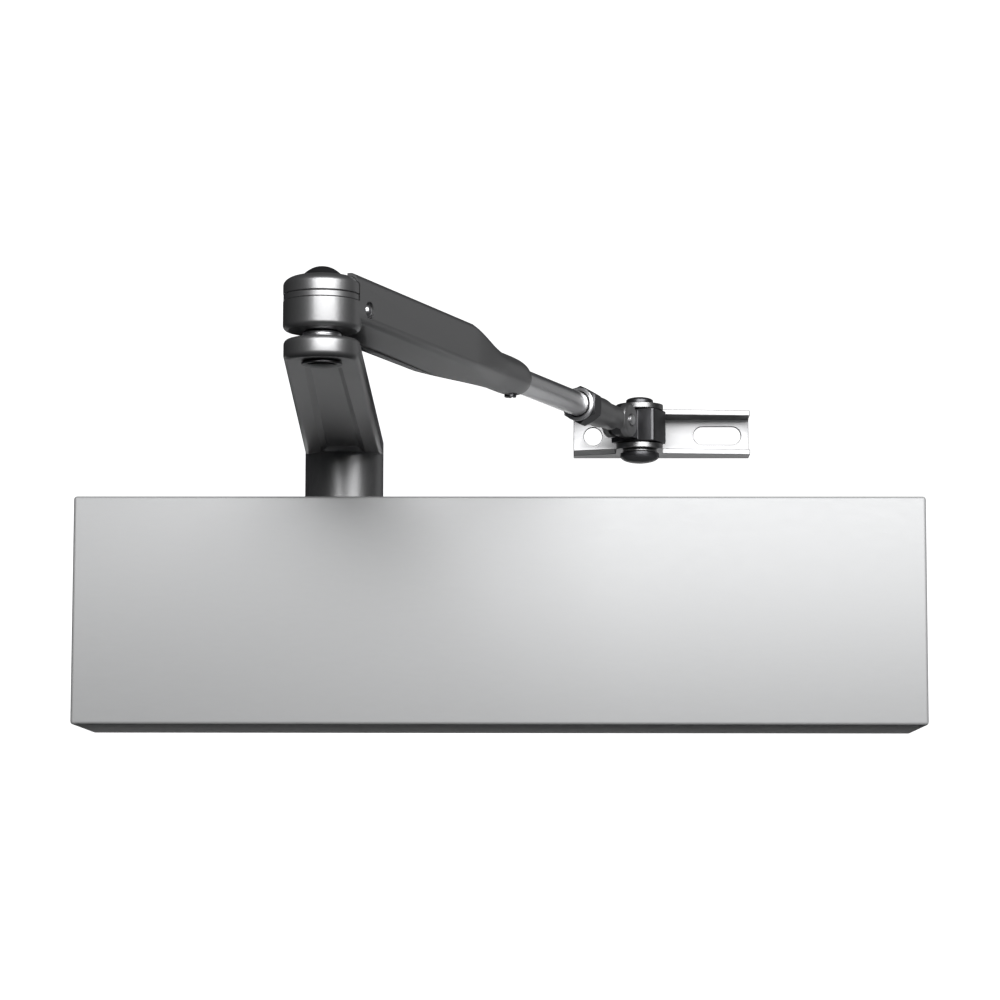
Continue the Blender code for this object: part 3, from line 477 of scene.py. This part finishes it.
# ---- Bore fittings --------------------------------------------------------
# Threaded steel plugs close the bore, each with a rubber ring. The right one lets
# the power screw through to the spring's seat.
CAP_RADIUS = 18.7 * MM
cap_steel = metal("cap_steel", (0.5, 0.5, 0.51), 1.0, 0.32, spread=0.1, sheen=0.12, scale=500,
                  height=0.008 * MM)
black_rubber = metal("black_rubber", (0.025, 0.025, 0.026), 0.0, 0.7, spread=0.3, sheen=0.1, scale=1200,
                     height=0.02 * MM)
on_bore = at(0, BORE_Y, 0) @ ALONG_X
for name, side, hole in (("left", -1, 0), ("right", 1, 5.3 * MM)):
    low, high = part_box("end_cap_" + name)
    inner, outer = sorted((abs(low.x), abs(high.x)))
    groove = inner + 3 * MM
    shape = [(hole, inner), (CAP_RADIUS, inner), (CAP_RADIUS, groove), (16.4 * MM, groove),
             (16.4 * MM, groove + 2.6 * MM), (CAP_RADIUS, groove + 2.6 * MM), (CAP_RADIUS, outer - 0.8 * MM),
             (CAP_RADIUS - 0.8 * MM, outer), (9 * MM, outer), (8.6 * MM, outer - 0.5 * MM),
             (hole, outer - 0.5 * MM)]
    plug = turned([(radius, side * height) for radius, height in shape], 96, ring=hole > 0)
    near, far = sorted((side * (outer - 5 * MM), side * (outer + MM)))
    if hole:
        sockets = gathered(*[set_at(rod(2 * MM, near, far, 24), at(0, y * MM, 0)) for y in (-12, 12)])
    else:
        sockets = hexagon(8 * MM, near, far)
    plug = set_at(carve(plug, "DIFFERENCE", sockets), on_bore)
    made = piece("bore_plug_" + name, plug, cap_steel, "closer_body", "steel", "end_cap_" + name)
    soften(made, 0.15 * MM, 2)
dress(black_rubber, "end_cap_seal_left", "end_cap_seal_right")

low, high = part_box("power_adjust_screw")
shape = [(0, low.x), (4.1 * MM, low.x), (4.9 * MM, low.x + 0.8 * MM), (4.9 * MM, high.x - 6 * MM),
         (7.5 * MM, high.x - 6 * MM), (7.5 * MM, high.x - 0.6 * MM), (6.9 * MM, high.x), (0, high.x)]
power = carve(turned(shape, 64), "DIFFERENCE", hexagon(3.6 * MM, high.x - 4.5 * MM, high.x + MM))
power = piece("power_screw_turned", set_at(power, on_bore), cap_steel, "power_screw", "steel",
              "power_adjust_screw")
soften(power, 0.15 * MM, 2)


# ---- Piston and spring ----------------------------------------------------
# A hardened piston with a rack cut in its slot, its rubber ring and brass check
# valve, and a coil spring of oil-tempered wire that stands on a turned seat.
rack_steel = metal("rack_steel", (0.36, 0.36, 0.37), 1.0, 0.34, spread=0.12, sheen=0.14, scale=600,
                   stretch=(0.2, 1, 1), height=0.01 * MM)
spring_wire = metal("spring_wire", (0.12, 0.12, 0.13), 0.9, 0.36, spread=0.2, sheen=0.1, scale=800,
                    height=0.012 * MM)
turned_brass = metal("turned_brass", (0.62, 0.45, 0.17), 1.0, 0.3, spread=0.1, sheen=0.12, scale=600,
                     height=0.01 * MM)
dress(rack_steel, "piston", "spring_seat")
dress(black_rubber, "piston_seal")
dress(turned_brass, "check_valve")

COIL_RADIUS = 13.5 * MM
WIRE_RADIUS = 2.3 * MM
FIXED_COIL = 62 * MM


def coil(start, end, turns):
    """A stretch of round wire wound about Z."""
    wire = bmesh.new()
    bmesh.ops.create_circle(wire, radius=WIRE_RADIUS, segments=16,
                            matrix=at(COIL_RADIUS, 0, start) @ Matrix.Rotation(math.radians(90), 4, "X"))
    steps = 36 * turns
    bmesh.ops.spin(wire, geom=list(wire.verts) + list(wire.edges), cent=(0, 0, 0), axis=(0, 0, 1),
                   angle=2 * math.pi * turns, dvec=(0, 0, (end - start) / steps), steps=steps)
    bmesh.ops.holes_fill(wire, edges=wire.edges, sides=0)
    bmesh.ops.recalc_face_normals(wire, faces=wire.faces)
    return set_at(wire, on_bore)


low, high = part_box("main_spring")
near_piston, near_seat = low.x + WIRE_RADIUS, high.x - WIRE_RADIUS
made = piece("spring_coils_left", coil(near_piston, FIXED_COIL, 7), spring_wire, None, "steel",
             "main_spring")
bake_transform(made)
made = piece("spring_coils_right", coil(FIXED_COIL, near_seat, 3), spring_wire, None, "steel")
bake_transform(made)


# ---- Spindle and glands ---------------------------------------------------
# A forged pinion with ground journals and a square top. Brass bearings, rubber
# lip seals and threaded closures hold it in the upright bore.
dress(rack_steel, "pinion")
dress(turned_brass, "upper_bearing", "lower_bearing")
dress(black_rubber, "upper_seal", "lower_seal")
dress(cap_steel, "spindle_nut", "lower_plug")


# ---- Speed valves ---------------------------------------------------------
# Three slotted brass screws in the body's front wall. They set the closing speed,
# the latching speed and the backcheck, and are reached with the cover off.
VALVE_RADIUS = 3.2 * MM
for valve, node in zip(VALVES, ("closing_speed_valve", "latching_speed_valve", "backcheck_valve")):
    low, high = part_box(node)
    middle = (low + high) / 2
    tip, top = -high.y, -low.y
    shape = [(0, tip), (1.2 * MM, tip), (VALVE_RADIUS, tip + 4 * MM), (VALVE_RADIUS, top - 0.5 * MM),
             (VALVE_RADIUS - 0.5 * MM, top), (0, top)]
    slot = block((-4 * MM, -0.5 * MM, top - 1.2 * MM), (4 * MM, 0.5 * MM, top + MM))
    stem = set_at(carve(turned(shape, 48), "DIFFERENCE", slot), at(middle.x, 0, middle.z) @ FACING_OUT)
    made = piece(node + "_stem", stem, turned_brass, valve["child"], "brass", node)
    soften(made, 0.1 * MM, 2)


# ---- Cover ----------------------------------------------------------------
# A folded box of satin silver sheet that slides on from the front. Its open side
# faces the door, and a notch in its top lets the arm's neck through.
EDGE_RADIUS = 1.1 * MM
SHEET = 2.0 * MM
NOTCH_RADIUS = 14.8 * MM
satin_silver = metal("satin_silver", (0.47, 0.474, 0.478), 0.3, 0.5, spread=0.05, sheen=0.08, scale=900,
                     stretch=(0.25, 1, 1), height=0.006 * MM, cloud=0.02, cloud_scale=12)
low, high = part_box("cover")
shell = block(low, high)
round_edges(shell, EDGE_RADIUS, 4,
            lambda edge: max(v.co.y for v in edge.verts) < low.y + MM or runs(edge, 1))
hollow = block(low + Vector((SHEET, SHEET, SHEET)), high + Vector((-SHEET, 5 * MM, -SHEET)))
round_edges(hollow, 0.6 * MM, 2,
            lambda edge: max(v.co.y for v in edge.verts) < low.y + 3 * MM or runs(edge, 1))
notch = arc(spindle.xy, NOTCH_RADIUS, 180, 360, 32)
notch += [(spindle.x + NOTCH_RADIUS, 6 * MM), (spindle.x - NOTCH_RADIUS, 6 * MM)]
shell = carve(shell, "DIFFERENCE", hollow, slab(notch, high.z - 2 * SHEET, high.z + SHEET))
soften(piece("cover_shell", shell, satin_silver, "cover", "silver", "cover"), 0.25 * MM, 2)


# ---- Main arm -------------------------------------------------------------
# A forged bar in dark metallic paint. Its neck is broached square for the spindle,
# and its underside is pressed in between two ribs.
RIB_DEPTH = 1.6 * MM
HUB_RADIUS = 14.1 * MM
BAR_END_RADIUS = 11.5 * MM
BAR_THICKNESS = 6.5 * MM
BAR_EDGE = 1.7 * MM
elbow = Vector(joints["elbow"]["pos_m"])
PIN_HOLE = 3.8 * MM
SQUARE_HALF = 5.85 * MM
along_arm = (elbow - spindle).xy
ARM_REACH = along_arm.length
ARM_TURN = at(spindle.x, spindle.y, 0) @ Matrix.Rotation(math.atan2(along_arm.y, along_arm.x), 4, "Z")


def level(edge):
    """Whether both ends of an edge are equally high."""
    return abs(edge.verts[0].co.z - edge.verts[1].co.z) < 1e-6


arm_paint = metal("dark_arm_paint", (0.3, 0.3, 0.304), 0.9, 0.38, spread=0.1, sheen=0.06, scale=1400,
                  height=0.012 * MM, cloud=0.05)
neck_low, neck_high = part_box("main_arm")
arm_top = neck_high.z
arm_under = arm_top - BAR_THICKNESS
spread = math.degrees(math.asin((HUB_RADIUS - BAR_END_RADIUS) / ARM_REACH))
outline = arc((0, 0), HUB_RADIUS, 90 - spread, 270 + spread, 48)
outline += arc((ARM_REACH, 0), BAR_END_RADIUS, -90 + spread, 90 - spread, 40)
bar = slab(outline, arm_under, arm_top)
round_edges(bar, BAR_EDGE, 6, level)
neck = turned([(0, neck_low.z), (HUB_RADIUS - 0.8 * MM, neck_low.z), (HUB_RADIUS, neck_low.z + 0.8 * MM),
               (HUB_RADIUS, arm_under + 2.2 * MM), (0, arm_under + 2.2 * MM)])
near, far = 14.6 * MM, ARM_REACH - 10.5 * MM
panel = slab([(near, -8.4 * MM), (far, -6 * MM), (far, 6 * MM), (near, 8.4 * MM)],
             arm_under - 0.4 * MM, arm_under + RIB_DEPTH)
round_edges(panel, 2 * MM, 4, lambda edge: runs(edge, 2))
deep = [vert for vert in panel.verts if vert.co.z > arm_under + 0.5 * RIB_DEPTH]
bmesh.ops.scale(panel, vec=(0.992, 0.68, 1), verts=deep, space=at(-(near + far) / 2, 0, 0))
square = block((-SQUARE_HALF, -SQUARE_HALF, 30 * MM), (SQUARE_HALF, SQUARE_HALF, 70 * MM))
pin_hole = set_at(rod(PIN_HOLE, 50 * MM, 70 * MM), at(ARM_REACH, 0, 0))
bar = carve(carve(bar, "UNION", neck), "DIFFERENCE", panel, square, pin_hole)
set_at(bar, ARM_TURN)
soften(piece("forged_main_arm", bar, arm_paint, "main_arm", "arm", "main_arm"), 0.35 * MM, 2, 35)


# ---- Arm screw ------------------------------------------------------------
# A zinc-plated socket screw and a plain washer, which clamp the arm down on the
# spindle's square.
ON_SPINDLE = at(spindle.x, spindle.y, 0)
low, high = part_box("arm_washer")
disc = set_at(collar(4 * MM, 9 * MM, low.z, high.z, 96), ON_SPINDLE)
soften(piece("arm_washer_disc", disc, screw_zinc, "main_arm", "zinc", "arm_washer"), 0.2 * MM, 2)
low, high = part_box("arm_screw")
seat = high.z - 4.6 * MM
shape = [(0, low.z), (2.9 * MM, low.z), (3.4 * MM, low.z + 0.6 * MM), (3.4 * MM, seat), (6.5 * MM, seat),
         (6.5 * MM, seat + 3.6 * MM), (5.9 * MM, seat + 4.3 * MM), (4.4 * MM, high.z), (0, high.z)]
screw = carve(turned(shape, 64), "DIFFERENCE", hexagon(3.4 * MM, seat + 1.5 * MM, seat + 6 * MM))
made = piece("arm_screw_socket", set_at(screw, ON_SPINDLE), screw_zinc, "main_arm", "zinc", "arm_screw")
soften(made, 0.15 * MM, 2)


# ---- Elbow ----------------------------------------------------------------
# A dark pin, riveted over a washer below, carries a zinc-plated bush between the
# arms, and a ring and a domed cap above the forearm's knuckle.
AT_ELBOW = at(elbow.x, elbow.y, 0)
KNUCKLE_RADIUS = 11.7 * MM
pin_black = metal("pin_black", (0.1, 0.1, 0.105), 0.9, 0.36, spread=0.15, sheen=0.08, scale=900,
                  height=0.01 * MM)
bright_zinc = metal("bright_zinc", (0.82, 0.82, 0.83), 1.0, 0.33, spread=0.08, sheen=0.08, scale=500,
                    height=0.006 * MM, cloud=0.06, cloud_scale=120)
low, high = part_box("elbow_pin")
foot, head = low.z + 0.6 * MM, high.z - 2.8 * MM
shape = [(4.6 * MM * share / 8, low.z + 0.6 * MM * (share / 8) ** 2) for share in range(9)]
shape += [(3.4 * MM, foot + 0.3 * MM), (3.4 * MM, head)]
shape += [(6 * MM * share / 12, high.z - 2.8 * MM * (share / 12) ** 2.2) for share in range(12, -1, -1)]
piece("riveted_elbow_pin", set_at(turned(shape), AT_ELBOW), pin_black, "main_arm", "arm", "elbow_pin")
low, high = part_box("elbow_washer")
disc = set_at(collar(PIN_HOLE, 6.1 * MM, low.z, high.z, 96), AT_ELBOW)
soften(piece("elbow_washer_disc", disc, pin_black, "main_arm", "arm", "elbow_washer"), 0.2 * MM, 2)
low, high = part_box("elbow_bush")
middle = (low.z + high.z) / 2
shape = [(PIN_HOLE, low.z), (5.6 * MM, low.z), (6 * MM, middle), (5.6 * MM, high.z), (PIN_HOLE, high.z)]
disc = set_at(turned(shape, 96, ring=True), AT_ELBOW)
soften(piece("plated_bush", disc, bright_zinc, "main_arm", "zinc", "elbow_bush"), 0.5 * MM, 4, 15)
low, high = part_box("elbow_ring")
spacer = collar(PIN_HOLE, KNUCKLE_RADIUS - 0.1 * MM, low.z - 0.2 * MM, high.z + 0.2 * MM, 96)
made = piece("elbow_spacer", set_at(spacer, AT_ELBOW), arm_paint, "forearm", "arm", "elbow_ring")
soften(made, 0.3 * MM, 3)
low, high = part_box("elbow_cap")
shoulder = high.z - 3 * MM
crown = [(6.2 * MM + (KNUCKLE_RADIUS - 6.2 * MM) * math.cos(math.radians(turn)),
          shoulder + 3 * MM * math.sin(math.radians(turn))) for turn in range(0, 91, 9)]
shape = [(PIN_HOLE, low.z), (KNUCKLE_RADIUS, low.z)] + crown + [(PIN_HOLE, high.z)]
dome = set_at(turned(shape, 96, ring=True), AT_ELBOW)
soften(piece("domed_cap", dome, arm_paint, "forearm", "arm", "elbow_cap"), 0.3 * MM, 3)


# ---- Forearm sleeve -------------------------------------------------------
# A forged sleeve in the same paint as the arm. It tapers from a wide box with a
# pressed-in underside to a round collar, and its knuckle turns on the elbow pin.
LINE_HEIGHT = 76.6 * MM
HALF_WIDTH = 11.7 * MM
SLEEVE_TOP = 7.8 * MM
SLEEVE_UNDER = -6.5 * MM
COLLAR = 6.4 * MM
TAPER_START = 81 * MM
TAPER_END = 118 * MM
SLEEVE_END = 138 * MM
ROD_HOLE = 4.5 * MM
SIDE_PIN_START = 9.5 * MM
SIDE_PIN_PLACE = at(8.5 * MM, 0, -2.2 * MM) @ FACING_OUT
CLAMP_PLACE = at(132 * MM, 0, 0)
rod_line = Vector(joints["rod_slide"]["axis"])
FOREARM = (AT_ELBOW @ Matrix.Rotation(math.atan2(rod_line.y, rod_line.x), 4, "Z") @ at(0, 0, LINE_HEIGHT)
           @ Matrix.Rotation(math.asin(-rod_line.z), 4, "Y"))
ALONG_FOREARM = FOREARM @ ALONG_X


def section(solid, along, half_width, top, under, corner, lower_corner):
    """A closed loop across the forearm: a box whose corners are rounded, or a circle."""
    loop = []
    for side, centre_z, radius, start in ((1, top - corner, corner, 0), (-1, top - corner, corner, 90),
                                          (-1, under + lower_corner, lower_corner, 180),
                                          (1, under + lower_corner, lower_corner, 270)):
        for step in range(10):
            turn = math.radians(start + 4.5 + 9 * step)
            loop.append(solid.verts.new((along, side * (half_width - radius) + radius * math.cos(turn),
                                         centre_z + radius * math.sin(turn))))
    return [solid.edges.new(pair) for pair in zip(loop, loop[1:] + loop[:1])]


sleeve = bmesh.new()
stations = [(0, HALF_WIDTH, SLEEVE_TOP, SLEEVE_UNDER, 2.4 * MM, 2.4 * MM)]
for step in range(13):
    ease = 0.65 * step / 12 + 0.35 * (1 - math.cos(math.pi * step / 12)) / 2
    blend = [(end - start) * ease + start for start, end in
             ((HALF_WIDTH, COLLAR), (SLEEVE_TOP, COLLAR), (SLEEVE_UNDER, -COLLAR), (2.4 * MM, COLLAR),
              (2.4 * MM, COLLAR))]
    stations.append((TAPER_START + (TAPER_END - TAPER_START) * step / 12, *blend))
for back, radius in ((10, 6.4), (7, 6.3), (4.5, 6.1), (2.5, 5.8), (1, 5.4), (0, 5)):
    radius *= MM
    stations.append((SLEEVE_END - back * MM, radius, radius, -radius, radius, radius))
loops = [section(sleeve, *station) for station in stations]
for loop, after in zip(loops, loops[1:]):
    bmesh.ops.bridge_loops(sleeve, edges=loop + after)
bmesh.ops.holes_fill(sleeve, edges=loops[0] + loops[-1], sides=0)
bmesh.ops.recalc_face_normals(sleeve, faces=sleeve.faces)
low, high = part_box("elbow_bush")
knuckle_low = high.z + 0.3 * MM
knuckle_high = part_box("elbow_ring")[0].z - 0.3 * MM
knuckle = [(0, knuckle_low)] + arc((KNUCKLE_RADIUS - 1.6 * MM, knuckle_low + 1.6 * MM), 1.6 * MM, -90, 0, 8)
knuckle += [(KNUCKLE_RADIUS, knuckle_high), (0, knuckle_high)]
upright = FOREARM.inverted() @ AT_ELBOW
nest = [(0, knuckle_high)] + [(radius + 0.15 * MM, height + 0.1 * MM) for radius, height in
                              [(KNUCKLE_RADIUS, knuckle_high - 0.1 * MM)] + crown[:7]]
nest += [(8.3 * MM, crown[7][1] + 0.1 * MM), (8.3 * MM, 95 * MM), (0, 95 * MM)]
pocket = set_at(turned(nest), upright)
hole = set_at(rod(PIN_HOLE, 60 * MM, 80 * MM), upright)
pressed = block((20 * MM, -7.2 * MM, -9 * MM), (96 * MM, 7.2 * MM, SLEEVE_UNDER + MM))
round_edges(pressed, 4 * MM, 5, lambda edge: runs(edge, 2))
set_at(pressed, at(20 * MM, 0, SLEEVE_UNDER) @ Matrix.Rotation(math.radians(0.75), 4, "Y")
       @ at(-20 * MM, 0, -SLEEVE_UNDER))
bore = set_at(rod(ROD_HOLE, 24.7 * MM, SLEEVE_END + MM), ALONG_X)
clamp_hole = set_at(rod(2.35 * MM, -10 * MM, -2 * MM, 32), CLAMP_PLACE)
side_hole = set_at(rod(2.7 * MM, SIDE_PIN_START, 13 * MM, 32), SIDE_PIN_PLACE)
sleeve = carve(sleeve, "UNION", set_at(turned(knuckle), upright))
sleeve = carve(sleeve, "DIFFERENCE", pocket, hole, pressed, bore, clamp_hole, side_hole)
set_at(sleeve, FOREARM)
soften(piece("forged_sleeve", sleeve, arm_paint, "forearm", "arm", "forearm_sleeve"), 0.3 * MM, 2, 40)


# ---- Forearm fittings -----------------------------------------------------
# A bright pin, pressed into the knuckle's side, and a slotted clamp screw that
# pinches the rod from under the collar.
SIDE_PIN_RADIUS = 1.9 * MM
shoulder = HALF_WIDTH - 1.1 * MM
shape = [(0, SIDE_PIN_START), (SIDE_PIN_RADIUS, SIDE_PIN_START)]
shape += [(SIDE_PIN_RADIUS * math.cos(math.radians(turn)), shoulder + 1.6 * MM * math.sin(math.radians(turn)))
          for turn in range(0, 91, 10)]
stud = set_at(turned(shape, 48), FOREARM @ SIDE_PIN_PLACE)
piece("pressed_side_pin", stud, bright_zinc, "forearm", "zinc", "forearm_pin")
screw = rod(2 * MM, -COLLAR - 0.5 * MM, -4.7 * MM, 48)
slot = block((-3 * MM, -0.4 * MM, -8 * MM), (3 * MM, 0.4 * MM, -COLLAR + 0.2 * MM))
screw = set_at(carve(screw, "DIFFERENCE", slot), FOREARM @ CLAMP_PLACE)
soften(piece("slotted_clamp_screw", screw, pin_black, "clamp_screw", "arm", "clamp_screw"), 0.1 * MM, 2)


# ---- Adjusting rod --------------------------------------------------------
# A bright plated rod that slides in the sleeve and screws into a forged fork. A
# lock nut with a bright bearing face is tightened against the fork.
ROD_RADIUS = 4.2 * MM
NUT_START = 186.7 * MM
NUT_END = 193.9 * MM
NUT_HOLE = 4.55 * MM
CROSS_PIN = 223.2 * MM
CROSS_HOLE = 2.3 * MM
ROD_START = 60.7 * MM
ROD_END = 205.2 * MM
shape = [(0, ROD_START), (ROD_RADIUS - 0.6 * MM, ROD_START), (ROD_RADIUS, ROD_START + 0.6 * MM),
         (ROD_RADIUS, ROD_END), (0, ROD_END)]
bar = set_at(turned(shape), ALONG_FOREARM)
piece("plated_rod", bar, bright_zinc, "adjusting_rod", "zinc", "adjusting_rod")

nut = hexagon(6.8 * MM, NUT_START + 1.2 * MM, NUT_END)
rounding = turned([(0, NUT_START), (5.7 * MM, NUT_START + 1.2 * MM), (7.2 * MM, NUT_START + 2.4 * MM),
                   (7.2 * MM, NUT_END - 1 * MM), (5.9 * MM, NUT_END), (0, NUT_END)])
nut = carve(nut, "INTERSECT", rounding)
nut = set_at(carve(nut, "DIFFERENCE", rod(NUT_HOLE, 180 * MM, 200 * MM)), ALONG_FOREARM)
made = piece("lock_nut_hexagon", nut, pin_black, "lock_nut", "arm", "lock_nut")
soften(made, 0.2 * MM, 2)
face = collar(NUT_HOLE, 5.9 * MM, NUT_START, NUT_START + 1.15 * MM, 96)
made = piece("lock_nut_face", set_at(face, ALONG_FOREARM), bright_zinc, "lock_nut", "zinc")
soften(made, 0.3 * MM, 3)

shape = [(0, NUT_END + 0.3 * MM), (5.3 * MM, NUT_END + 0.3 * MM), (5.3 * MM, NUT_END + 11 * MM),
         (5.2 * MM, NUT_END + 12.5 * MM), (4.7 * MM, NUT_END + 16 * MM), (4.6 * MM, NUT_END + 18 * MM),
         (4.6 * MM, CROSS_PIN - 3 * MM), (0, CROSS_PIN - 3 * MM)]
fork = set_at(turned(shape), ALONG_X)
eye_place = at(CROSS_PIN, 0, 0) @ FACING_OUT
eye = round_edges(rod(6 * MM, -4.8 * MM, 4.8 * MM, 64), 0.9 * MM, 3,
                  lambda edge: level(edge) and edge.calc_face_angle(0) > 1)
jaw = block((CROSS_PIN - 8 * MM, -2.4 * MM, -10 * MM), (CROSS_PIN + 10 * MM, 2.4 * MM, 10 * MM))
fork = carve(fork, "UNION", set_at(eye, eye_place))
fork = carve(fork, "DIFFERENCE", jaw, set_at(rod(CROSS_HOLE, -8 * MM, 8 * MM, 48), eye_place),
             set_at(rod(ROD_HOLE, NUT_END - MM, ROD_END + 1.5 * MM), ALONG_X))
set_at(fork, FOREARM)
soften(piece("forged_fork", fork, arm_paint, "adjusting_rod", "arm", "rod_end"), 0.25 * MM, 2, 40)


# ---- Swivel ---------------------------------------------------------------
# A steel block that turns on the shoe's rivet. Its tongue stands in the fork, held
# by a bright cross pin.
TONGUE = 5.2 * MM
RIVET_HOLE = 3.35 * MM
cross = Vector(joints["rod_tilt"]["pos_m"])
rivet = Vector(joints["shoe_pivot"]["pos_m"])
low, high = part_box("swivel_block")
TILT = at(*cross) @ Matrix.Rotation(math.atan2(rod_line.y, rod_line.x), 4, "Z")
pivot = (rivet - cross).xy.length
body = block((pivot - 7 * MM, -8.5 * MM, low.z - cross.z), (pivot + 5 * MM, 8.5 * MM, high.z - cross.z))
round_edges(body, 1.2 * MM, 4, lambda edge: runs(edge, 2))
tongue = slab(arc((0, 0), TONGUE, 90, 270, 32) + [(pivot, -TONGUE), (pivot, TONGUE)], -2.1 * MM, 2.1 * MM)
body = carve(body, "UNION", set_at(tongue, FACING_OUT))
body = carve(body, "DIFFERENCE", set_at(rod(CROSS_HOLE, -4 * MM, 4 * MM, 48), FACING_OUT),
             set_at(rod(RIVET_HOLE, -12 * MM, 12 * MM, 48), at(pivot, 0, 0)))
made = piece("swivel_casting", set_at(body, TILT), pin_black, "swivel", "arm", "swivel_block")
soften(made, 0.3 * MM, 2, 35)
shape = [(0, -5.6 * MM), (1.6 * MM, -5.6 * MM), (2 * MM, -5.3 * MM), (2 * MM, 5.3 * MM), (1.6 * MM, 5.6 * MM),
         (0, 5.6 * MM)]
stud = set_at(turned(shape, 48), TILT @ FACING_OUT)
piece("plated_cross_pin", stud, bright_zinc, "swivel", "zinc", "cross_pin")


# ---- Shoe -----------------------------------------------------------------
# A bent channel of bright plated steel on the door's frame, with a round hole and
# a slot for its screws. A dark rivet holds the swivel between its ears.
SHOE_WALL = 2 * MM
EAR = 8.5 * MM
SHOE_HOLE = (33.8 * MM, 69.3 * MM)
SHOE_SLOT = (79.6 * MM, 69.6 * MM)
SLOT_HALF = 5.4 * MM
FIXING_RADIUS = 3.35 * MM
shoe_zinc = metal("shoe_zinc", (0.3, 0.3, 0.304), 1.0, 0.36, spread=0.06, sheen=0.08, scale=600,
                  stretch=(0.3, 1, 1), height=0.008 * MM, cloud=0.06, cloud_scale=90)
low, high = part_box("shoe_bracket")
outline = [(low.x, 0), (low.x, -9 * MM), (rivet.x - EAR, -14 * MM)] + arc(rivet.xy, EAR, 180, 360, 48)
outline += [(rivet.x + EAR, -15 * MM), (high.x, -12 * MM), (high.x, 0)]
channel = slab(outline, low.z, high.z)
round_edges(channel, 1.6 * MM, 5, lambda edge: runs(edge, 0) and edge.verts[0].co.y > -MM)
inside = block((low.x - 9 * MM, -60 * MM, low.z + SHOE_WALL),
               (high.x + 9 * MM, -SHOE_WALL, high.z - SHOE_WALL))
round_edges(inside, 0.8 * MM, 4, lambda edge: runs(edge, 0) and edge.verts[0].co.y > -3 * MM)
slot = arc((SHOE_SLOT[0] - SLOT_HALF, SHOE_SLOT[1]), FIXING_RADIUS, 90, 270, 24)
slot += arc((SHOE_SLOT[0] + SLOT_HALF, SHOE_SLOT[1]), FIXING_RADIUS, -90, 90, 24)
through = [set_at(slab(shape, -4 * MM, 4 * MM), FACING_OUT)
           for shape in (arc(SHOE_HOLE, FIXING_RADIUS, 0, 352.5, 47), slot)]
eyes = set_at(rod(RIVET_HOLE, 50 * MM, 90 * MM, 64), at(rivet.x, rivet.y, 0))
channel = carve(channel, "DIFFERENCE", inside, *through, eyes)
soften(piece("bent_shoe", channel, shoe_zinc, "shoe", "zinc", "shoe_bracket"), 0.25 * MM, 2, 40)

low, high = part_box("shoe_rivet")
foot, head = low.z + 3.6 * MM, high.z - 2.5 * MM
shape = [(7 * MM * math.sin(math.radians(turn)), foot - 1.2 * MM - 2.4 * MM * math.cos(math.radians(turn)))
         for turn in range(0, 91, 10)]
shape += [(7 * MM, foot), (3 * MM, foot), (3 * MM, head), (4.9 * MM, head), (4.9 * MM, head + 1.2 * MM)]
shape += [(4.9 * MM * math.cos(math.radians(turn)), head + 1.2 * MM + 1.3 * MM * math.sin(math.radians(turn)))
          for turn in range(10, 91, 10)]
stem = set_at(turned(shape), at(rivet.x, rivet.y, 0))
soften(piece("shoe_rivet_stem", stem, pin_black, "shoe", "arm", "shoe_rivet"), 0.15 * MM, 2)
low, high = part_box("shoe_washer")
disc = set_at(collar(RIVET_HOLE, 6.2 * MM, low.z, high.z, 96), at(rivet.x, rivet.y, 0))
soften(piece("shoe_washer_disc", disc, arm_paint, "shoe", "arm", "shoe_washer"), 0.2 * MM, 2)

low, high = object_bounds()
